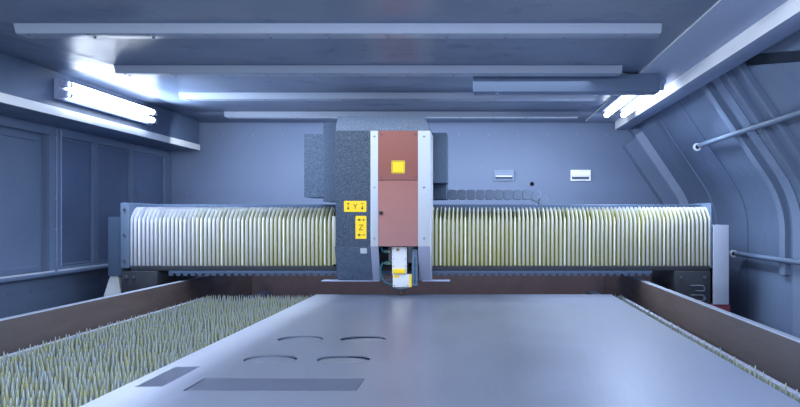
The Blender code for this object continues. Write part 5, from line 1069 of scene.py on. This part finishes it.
def bellowsLine(inset, topInset):
    look = bellowsLook
    front, top = look["front"] + inset, look["top"] - topInset
    slope = look["shoulder"] - topInset * 0.5
    return [(front + 0.003, look["bottom"]), (front, look["bottom"] + 0.004),
            (front, slope - 0.012), (front + topInset * 0.3 + 0.005, slope),
            (look["front"] + look["chamfer"] * 0.6 + topInset * 0.4, top - 0.010),
            (look["front"] + look["chamfer"] + topInset * 0.2, top), (look["front"] + look["depth"], top)]


def bellowsPart(name, folds, material):
    # folds lists (x, inset, inset on the slope, wired) across this stretch of the cover
    look = bellowsLook
    shape = bmesh.new()
    rows = []
    for x, inset, topInset, _ in folds:
        line = bellowsLine(inset, topInset)
        outer = [shape.verts.new((x, y, z)) for y, z in line]
        inner = [shape.verts.new((x, y + look["cloth"], z - look["cloth"])) for y, z in line]
        rows.append(outer + inner[::-1])
    for n, (a, b) in enumerate(zip(rows, rows[1:])):
        for k in range(len(a)):
            after = (k + 1) % len(a)
            face = shape.faces.new((a[k], a[after], b[after], b[k]))
            if k in (1, 2) and (folds[n][3] or folds[n + 1][3]):
                face.material_index = 1
    shape.faces.new(rows[0][::-1])
    shape.faces.new(rows[-1])
    made = meshObject(name, shape, [material, railPaint])
    # how deep in a fold each point lies, for the material's painted shade in the valleys
    depth = made.data.attributes.new("fold", "FLOAT", "POINT")
    perRow = len(rows[0])
    for n, (_, inset, topInset, _) in enumerate(folds):
        for k in range(perRow):
            slope = 3 <= min(k, perRow - 1 - k)
            share = topInset / look["topFold"] if slope else inset / look["fold"]
            depth.data[n * perRow + k].value = share
    return smoothed(made, 50)


def bellows(name, node, left, right, fixedAtLeft, wireEvery, material):
    look = bellowsLook
    pleats = round((right - left) / look["pitch"])
    pitch = (right - left) / pleats
    # each pleat runs crest, narrow valley, crest; every few pleats a wire shows in the crest
    folds = []
    nearInset, farInset = look["crestInset"]
    for n in range(pleats):
        x = left + n * pitch
        wired = n % wireEvery == 2
        edge = look["wireCrest"] if wired else look["crest"]
        rise = look["wireRise"] if n % wireEvery == 1 else look["rise"]
        folds += [(x, 0.0, 0.0, wired), (x + pitch * edge, nearInset, look["crestTop"], False)]
        folds += [(x + pitch * share, look["fold"], look["topFold"], False) for share in look["valley"]]
        folds.append((x + pitch * rise, farInset, look["crestTop"], False))
    folds.append((right, 0.0, 0.0, False))
    perPart = math.ceil(pleats / look["parts"])
    number = 0
    start = 0
    while start < pleats:
        end = min(start + perPart, pleats)
        if pleats - end < 2:
            end = pleats
        stretch = folds[start * 5:end * 5 + 1]
        made = bellowsPart(f"{name}{number}", stretch, material)
        x0, x1 = stretch[0][0], stretch[-1][0]
        share0, share1 = (x0 - left) / (right - left), (x1 - left) / (right - left)
        if not fixedAtLeft:
            share0, share1 = 1 - share0, 1 - share1
        u0, u1 = smoothInverse(share0), smoothInverse(share1)
        # start and end along x where the smooth step would be 0 and 1; nothing uses them
        span = (x1 - x0) / (u1 - u0)
        begin = x0 - u0 * span
        begin + span
        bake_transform(made)
        if number == 0:
            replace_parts(made, node)
        number += 1
        start = end


def bellowsFlange():
    # the left cover's last two pleats, fixed to the carriage beside its cover
    look = {"x": (-0.3432, -0.3064), "front": 0.9672, "back": 0.9700, "z": (1.0770, 1.2830), "pleats": 2,
            "gap": 0.0010}
    wide = (look["x"][1] - look["x"][0]) / look["pleats"]
    shape = bmesh.new()
    for n in range(look["pleats"]):
        low = look["x"][0] + n * wide
        outline = [(low + look["gap"], look["back"]), (low + wide * 0.25, look["front"]),
                   (low + wide * 0.75, look["front"]), (low + wide - look["gap"], look["back"])]
        addPrism(shape, outline, "Z", *look["z"])
    made = soften(meshObject("bellowsFlange", shape, bellowsLeftCloth), 0.0006, 1)
    ridden(made, "carriage")


bellowsFlange()
leftBox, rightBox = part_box("bellows_left"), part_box("bellows_right")
bellows("bellowsLeft", "bellows_left", leftBox[0].x, leftBox[1].x, True, 5, bellowsLeftCloth)
bellows("bellowsRight", "bellows_right", rightBox[0].x, rightBox[1].x, False, 6, bellowsRightCloth)
print("bellows ready")


chainLook = {"top": 1.3875, "bendX": 0.54, "bendRadius": 0.075, "half": 0.0245, "start": 0.1333,
             "end": 0.0, "link": 0.045, "y": (1.485, 1.545), "plate": 0.006, "edge": 0.001,
             "waist": 0.72, "shoulder": 0.22, "crossbar": (0.28, 0.62)}


def chainLink(length):
    # side plates, two crossbars, a waisted outline; lies along +X from the origin
    look = chainLook
    half, plate, edge = look["half"], look["plate"], look["edge"]
    wide = look["y"][1] - look["y"][0]
    waist, near, far = half * look["waist"], length * look["shoulder"], length * (1 - look["shoulder"])
    outline = [(edge, -waist), (near, -half), (far, -half), (length - edge, -waist),
               (length - edge, waist), (far, half), (near, half), (edge, waist)]
    shape = bmesh.new()
    for y in ((0.0, plate), (wide - plate, wide)):
        addPrism(shape, outline, "Y", *y)
    for z in ((edge - half, plate - half), (half - plate, half - edge)):
        addBox(shape, tuple(length * share for share in look["crossbar"]), (plate, wide - plate), z)
    return shape


def chainRun(name, places, length):
    whole = bmesh.new()
    for place in places:
        addCopy(whole, chainLink(length), place)
    return soften(meshObject(name, whole, chainPlastic), 0.0008, 1)


def straightRun(name, start, z):
    # as many whole links as fit between the start and the bend
    look = chainLook
    count = round((look["bendX"] - start) / look["link"])
    length = (look["bendX"] - start) / count
    places = [Matrix.Translation((start + n * length, look["y"][0], z)) for n in range(count)]
    return chainRun(name, places, length)


def cableChain():
    look = chainLook
    radius, bendX, start, end = look["bendRadius"], look["bendX"], look["start"], look["end"]
    y = look["y"][0]
    top = straightRun("chainUpper", start, look["top"])
    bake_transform(top)
    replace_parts(top, "cable_chain")
    count = max(4, round(math.pi * radius / look["link"]))
    step = math.pi / count
    places = []
    for n in range(count):
        angle = n * step
        spot = (bendX + radius * math.sin(angle), y, look["top"] - radius + radius * math.cos(angle))
        places.append(Matrix.Translation(spot) @ Matrix.Rotation(angle + step / 2, 4, "Y"))
    curve = chainRun("chainBend", places, 2 * radius * math.sin(step / 2))
    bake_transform(curve)
    bottom = straightRun("chainLower", end, look["top"] - 2 * radius)
    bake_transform(bottom)


cableChain()
print("cable chain ready")


for node, finish, edge in (
        ("bridge_beam", postPaint, 0.003), ("left_end_plate", platePaint, 0.002),
        ("left_gusset", whitePaint, 0.003), ("left_truck", bedPaint, 0.002),
        ("left_drive_box", blackPlastic, 0.004),
        ("right_end_plate", platePaint, 0.001), ("right_cover", paleCover, 0.0025),
        ("right_truck", darkRedPaint, 0.002), ("right_drive_box", blackPlastic, 0.004),
        ("lower_strip", blackPlastic, 0.002), ("toothed_strip", postPaint, 0.0006)):
    made = refined(node, finish, edge)
    if node == "left_end_plate":
        repainted(made, postPaint, lambda c, n: c.x < -1.25)


def gantryFittings():
    # screws on the end plates, covers, trucks and drive boxes
    plates = [(-1.233, 0.9847, z) for z in (1.09, 1.20, 1.31)]
    covers = [(1.3508, y, z) for y in (1.02, 1.46) for z in (0.94, 1.21)]
    trucks = [(-1.325, 1.0 + 0.10 * k, 0.9053) for k in range(3)]
    drives = [(x, 0.985, z) for x in (-1.225, -1.195) for z in (0.935, 1.02)]
    drives += [(x, 0.985, z) for x in (1.15, 1.25) for z in (0.93, 1.02)]
    for row in (("endPlateScrews", plates, "front", 0.006, 0.005),
                ("coverScrews", covers, "right", 0.006, 0.005),
                ("truckBolts", trucks, "up", 0.009, 0.010), ("driveBolts", drives, "front", 0.008, 0.009)):
        addHeads("gantry", *row)


def driveHooks():
    # two bright cable hooks on the front of the right drive box
    look = {"x": (1.192, 1.247), "z": (0.986, 0.945), "front": 0.9849, "out": 0.012, "drop": 0.022,
            "radius": 0.0028}
    (x0, x1), y, out, drop = look["x"], look["front"], look["out"], look["drop"]
    for n, z in enumerate(look["z"]):
        route = [(x0, y, z), (x0, y - out * 0.7, z), (x0 + 0.006, y - out, z), (x1 - 0.010, y - out, z),
                 (x1, y - out, z - drop * 0.4), (x1 - 0.004, y - out, z - drop),
                 (x0 + 0.016, y - out, z - drop)]
        ridden(tubeMesh(f"driveHook{n}", route, look["radius"], barSteel, 5, 10), "gantry")


gantryFittings()
driveHooks()
print("gantry ready")


for node, finish, edge in (
        ("carriage_frame", bedPaint, 0.002), ("cover_left", sidePaint, 0.0012),
        ("left_skirt", coverPaint, 0.0012), ("top_cover", hoodPaint, 0.002),
        ("centre_frame", stripPaint, 0.0015), ("red_upper_panel", redPaint, 0.0012),
        ("red_door", redPaint, 0.0012), ("door_lock", blackPlastic, 0.0006),
        ("bottom_shield", cabinLight, 0.0012), ("left_rear_box", coverPaint, 0.004),
        ("right_rear_box", coverPaint, 0.004)):
    made = refined(node, finish, edge)
    if node == "centre_frame":
        repainted(made, shadePaint, lambda c, n: c.z < 1.15 and n.y < 0)


def plateOutline(x, z, radius, steps=5):
    # a rectangle with rounded corners, in X and Z
    points = []
    for cx, cz, start in ((x[1] - radius, z[0] + radius, -90), (x[1] - radius, z[1] - radius, 0),
                          (x[0] + radius, z[1] - radius, 90), (x[0] + radius, z[0] + radius, 180)):
        for k in range(steps + 1):
            angle = math.radians(start + 90 * k / steps)
            points.append((cx + radius * math.cos(angle), cz + radius * math.sin(angle)))
    return points


def letterStrokes(letter, x, z, size):
    # strokes of a letter as pairs of points
    w, h = size * 0.36, size * 0.5
    if letter == "Y":
        return [((x - w, z + h), (x, z)), ((x + w, z + h), (x, z)), ((x, z), (x, z - h))]
    return [((x - w, z + h), (x + w, z + h)), ((x + w, z + h), (x - w, z - h)),
            ((x - w, z - h), (x + w, z - h))]


def addStroke(shape, a, b, width, y0, y1):
    a, b = Vector(a), Vector(b)
    along = (b - a).normalized()
    side = Vector((-along.y, along.x)) * width / 2
    along *= width * 0.3
    outline = [a - along - side, b + along - side, b + along + side, a - along + side]
    addPrism(shape, [tuple(p) for p in outline], "Y", y0, y1)


def axisStrokes(letter, plate, along, spread, tail):
    # a letter between two arrows, each with its sign behind it: minus on one side, plus on the other
    x, z = sum(plate[0]) / 2, sum(plate[1]) / 2
    look = {"size": 0.020, "tip": -0.012, "shaft": -0.011, "barb": (-0.006, 0.004), "sign": 0.011,
            "arm": 0.004}
    strokes = []

    def add(*points):
        # points are given beside the arrow and along it
        strokes.append([(x + u, z + v) if along == "Z" else (x + v, z + u) for u, v in points])

    back, wide = look["barb"]
    sign, arm = look["sign"], look["arm"]
    for side in (-1, 1):
        at = side * spread
        add((at, tail), (at, look["shaft"]))
        for barb in (-wide, wide):
            add((at, look["tip"]), (at + barb, back))
        flat, upright = ((at - arm, sign), (at + arm, sign)), ((at, sign - arm), (at, sign + arm))
        if along == "X":
            flat, upright = upright, flat
        add(*flat)
        if (side < 0) == (along == "Z"):
            add(*upright)
    return letterStrokes(letter, x, z, look["size"]) + strokes


def axisPlates():
    # direction plates for the two axes, and the blank plate on the upper panel
    look = {"front": 0.83, "thick": 0.0012, "ink": 0.0003, "corner": 0.004, "stroke": 0.0028,
            "y": ((-0.2709, -0.1784), (1.2997, 1.3449)), "z": ((-0.2236, -0.1784), (1.1887, 1.2832)),
            "blank": ((-0.0755, -0.0205), (1.458, 1.510)), "rim": (0.003, 0.0045)}
    y1 = look["front"]
    y0 = y1 - look["thick"]
    shape, ink = bmesh.new(), bmesh.new()
    for x, z in (look["y"], look["z"], look["blank"]):
        addPrism(shape, plateOutline(x, z, look["corner"]), "Y", y0, y1)
    ridden(soften(meshObject("axisPlates", shape, yellowPaint), 0.0003, 1), "carriage")
    i0 = y0 - look["ink"]
    strokes = axisStrokes("Y", look["y"], "Z", 0.029, 0.002)
    strokes += axisStrokes("Z", look["z"], "X", 0.031, 0.001)
    for a, b in strokes:
        addStroke(ink, a, b, look["stroke"], i0, y0)
    # the blank plate keeps its dark rim
    (xa, xb), (za, zb) = look["blank"]
    near, far = look["rim"]
    for x, z in (((xa + near, xb - near), (za + near, za + far)),
                 ((xa + near, xb - near), (zb - far, zb - near)),
                 ((xa + near, xa + far), (za + far, zb - far)),
                 ((xb - far, xb - near), (za + far, zb - far))):
        addBox(ink, x, (i0, y0), z)
    ridden(meshObject("axisMarks", ink, inkPaint), "carriage")


def carriageTrim():
    # screws on the covers' fronts, and a small light tag on the skirt, which follows its lean
    look = {"front": 0.83,
            "screws": (((-0.293,), (1.19, 1.60)), ((-0.178,), (1.60,)),
                       ((0.058, -0.146), (1.19, 1.40, 1.61)), ((-0.118, 0.022), (1.445, 1.62))),
            "tagX": (-0.2051, -0.178), "tagHalf": 0.0125, "tagThick": 0.0012, "tagZ": 1.1395,
            "skirtTop": 1.1577, "skirtSlope": (0.087, 0.1454)}
    spots = [(x, look["front"], z) for columns, heights in look["screws"] for x in columns for z in heights]
    addHeads("carriage", "coverFrontScrews", spots, "front", 0.0035, 0.002)
    lean = math.atan2(*look["skirtSlope"])
    shape, half = bmesh.new(), look["tagHalf"]
    addPrism(shape, plateOutline(look["tagX"], (-half, half), 0.002), "Y", -look["tagThick"], 0.0)
    y = look["front"] + (look["skirtTop"] - look["tagZ"]) * math.tan(lean)
    place = Matrix.Translation((0, y, look["tagZ"])) @ Matrix.Rotation(lean, 4, "X")
    bmesh.ops.transform(shape, matrix=place, verts=shape.verts)
    ridden(meshObject("skirtTag", shape, whitePaint), "carriage")


axisPlates()
carriageTrim()
print("carriage ready")


def headParts():
    refined("z_slide", machinedSteel, 0.0015)
    refined("head_body", whitePaint, 0.0015, tealPlastic, lambda c, n: c.x < -0.0765)
    refined("lower_body", whitePaint, 0.0015)
    refined("sensor_post", blackPlastic, 0.0015, platePaint, lambda c, n: n.y < -0.5 and c.z > 1.048)
    refined("window_cartridge", yellowPaint, 0.001)
    for name, node, finish, width in (("nozzleHolder", "nozzle_holder", machinedSteel, 0.0006),
                                      ("nozzleTip", "nozzle", copperMetal, 0.0003),
                                      ("collimatorBody", "collimator", machinedSteel, 0.0012)):
        refined(node, finish, width, angle=30, name=name)


headParts()


def headHoses():
    # the same routes as the solids have, with finer sides, and ring nuts on the fittings
    look = {"tip": -0.1063, "y": 0.87, "low": 1.0866, "high": 1.136, "bodySide": -0.0729, "neck": -0.0713,
            "middle": 0.89, "cable": (0.01775, 0.8597, 1.145), "hose": 0.004, "wire": 0.003,
            "cableSag": ((0.0, 0.040), (0.006, 0.040), (0.014, 0.055), (0.014, 0.085), (0.013, 0.115),
                         (0.006, 0.135), (0.0, 0.135)),
            "nut": [(0.0098, 0), (0.0102, 0.001), (0.0102, 0.009), (0.0098, 0.010)],
            "sleeve": [(0.0062, 0), (0.0062, 0.012)], "nutX": -0.0845, "sleeveX": -0.0975}
    tip, y, low, high, side = (look[key] for key in ("tip", "y", "low", "high", "bodySide"))
    water = [(tip, y, low), (tip - 0.008, y, low), (tip - 0.018, y, low - 0.018),
             (tip - 0.017, y, low - 0.045), (tip - 0.006, y, low - 0.072), (side - 0.016, y, low - 0.087),
             (side, y, low - 0.087)]
    neck, middle = look["neck"], look["middle"]
    gas = [(tip, y, high), (tip - 0.008, y, high), (tip - 0.017, y + 0.003, high + 0.020),
           (tip - 0.014, y + 0.008, high + 0.044), (tip - 0.003, y + 0.014, high + 0.066),
           (neck - 0.016, middle, high + 0.080), (neck, middle, high + 0.080)]
    x, front, top = look["cable"]
    sensor = [(x, front - out, top - down) for out, down in look["cableSag"]]
    for name, node, route, radius in (("waterHose", "water_hose", water, look["hose"]),
                                      ("gasHose", "gas_hose", gas, look["hose"]),
                                      ("sensorCable", "sensor_cable", sensor, look["wire"])):
        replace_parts(ridden(tubeMesh(name, route, radius, tealPlastic), "head"), node)
    shape = bmesh.new()
    for height in (low, high):
        addTurned(shape, look["nut"], (look["nutX"], y, height), (-1, 0, 0), 6)
        addTurned(shape, look["sleeve"], (look["sleeveX"], y, height), (-1, 0, 0), 20)
    ridden(soften(meshObject("fittingNuts", shape, brassMetal), 0.0005, 1), "head")


def headTrim():
    # yellow band and right strip, brass port and screws on the head's front
    look = {"bandY": (0.8492, 0.8500), "bands": (((-0.0045, 0.0053), (0.990, 1.0405)),
                                                 ((-0.0700, -0.0460), (1.0285, 1.0385))),
            "port": [(0.006, 0), (0.006, 0.004), (0.0035, 0.005), (0.0035, 0.008)],
            "portAt": (-0.052, 0.85, 1.144)}
    shape = bmesh.new()
    for x, z in look["bands"]:
        addBox(shape, x, look["bandY"], z)
    ridden(meshObject("headBands", shape, yellowPaint), "head")
    shape = bmesh.new()
    addTurned(shape, look["port"], look["portAt"], (0, -1, 0), 18)
    ridden(soften(meshObject("airPort", shape, brassMetal), 0.0005, 1), "head")
    spots = [(x, 0.85, z) for x in (-0.069, -0.021) for z in (1.075, 1.105, 1.148)]
    spots += [(x, 0.85, 0.995) for x in (-0.066, -0.010)]
    addHeads("head", "headScrews", spots, "front", 0.0026, 0.0018)
    spots = [(0.0235, 0.86, 1.00 + 0.022 * k) for k in range(7)]
    addHeads("head", "postScrews", spots, "front", 0.0024, 0.0016)


headHoses()
headTrim()
print("cutting head ready")
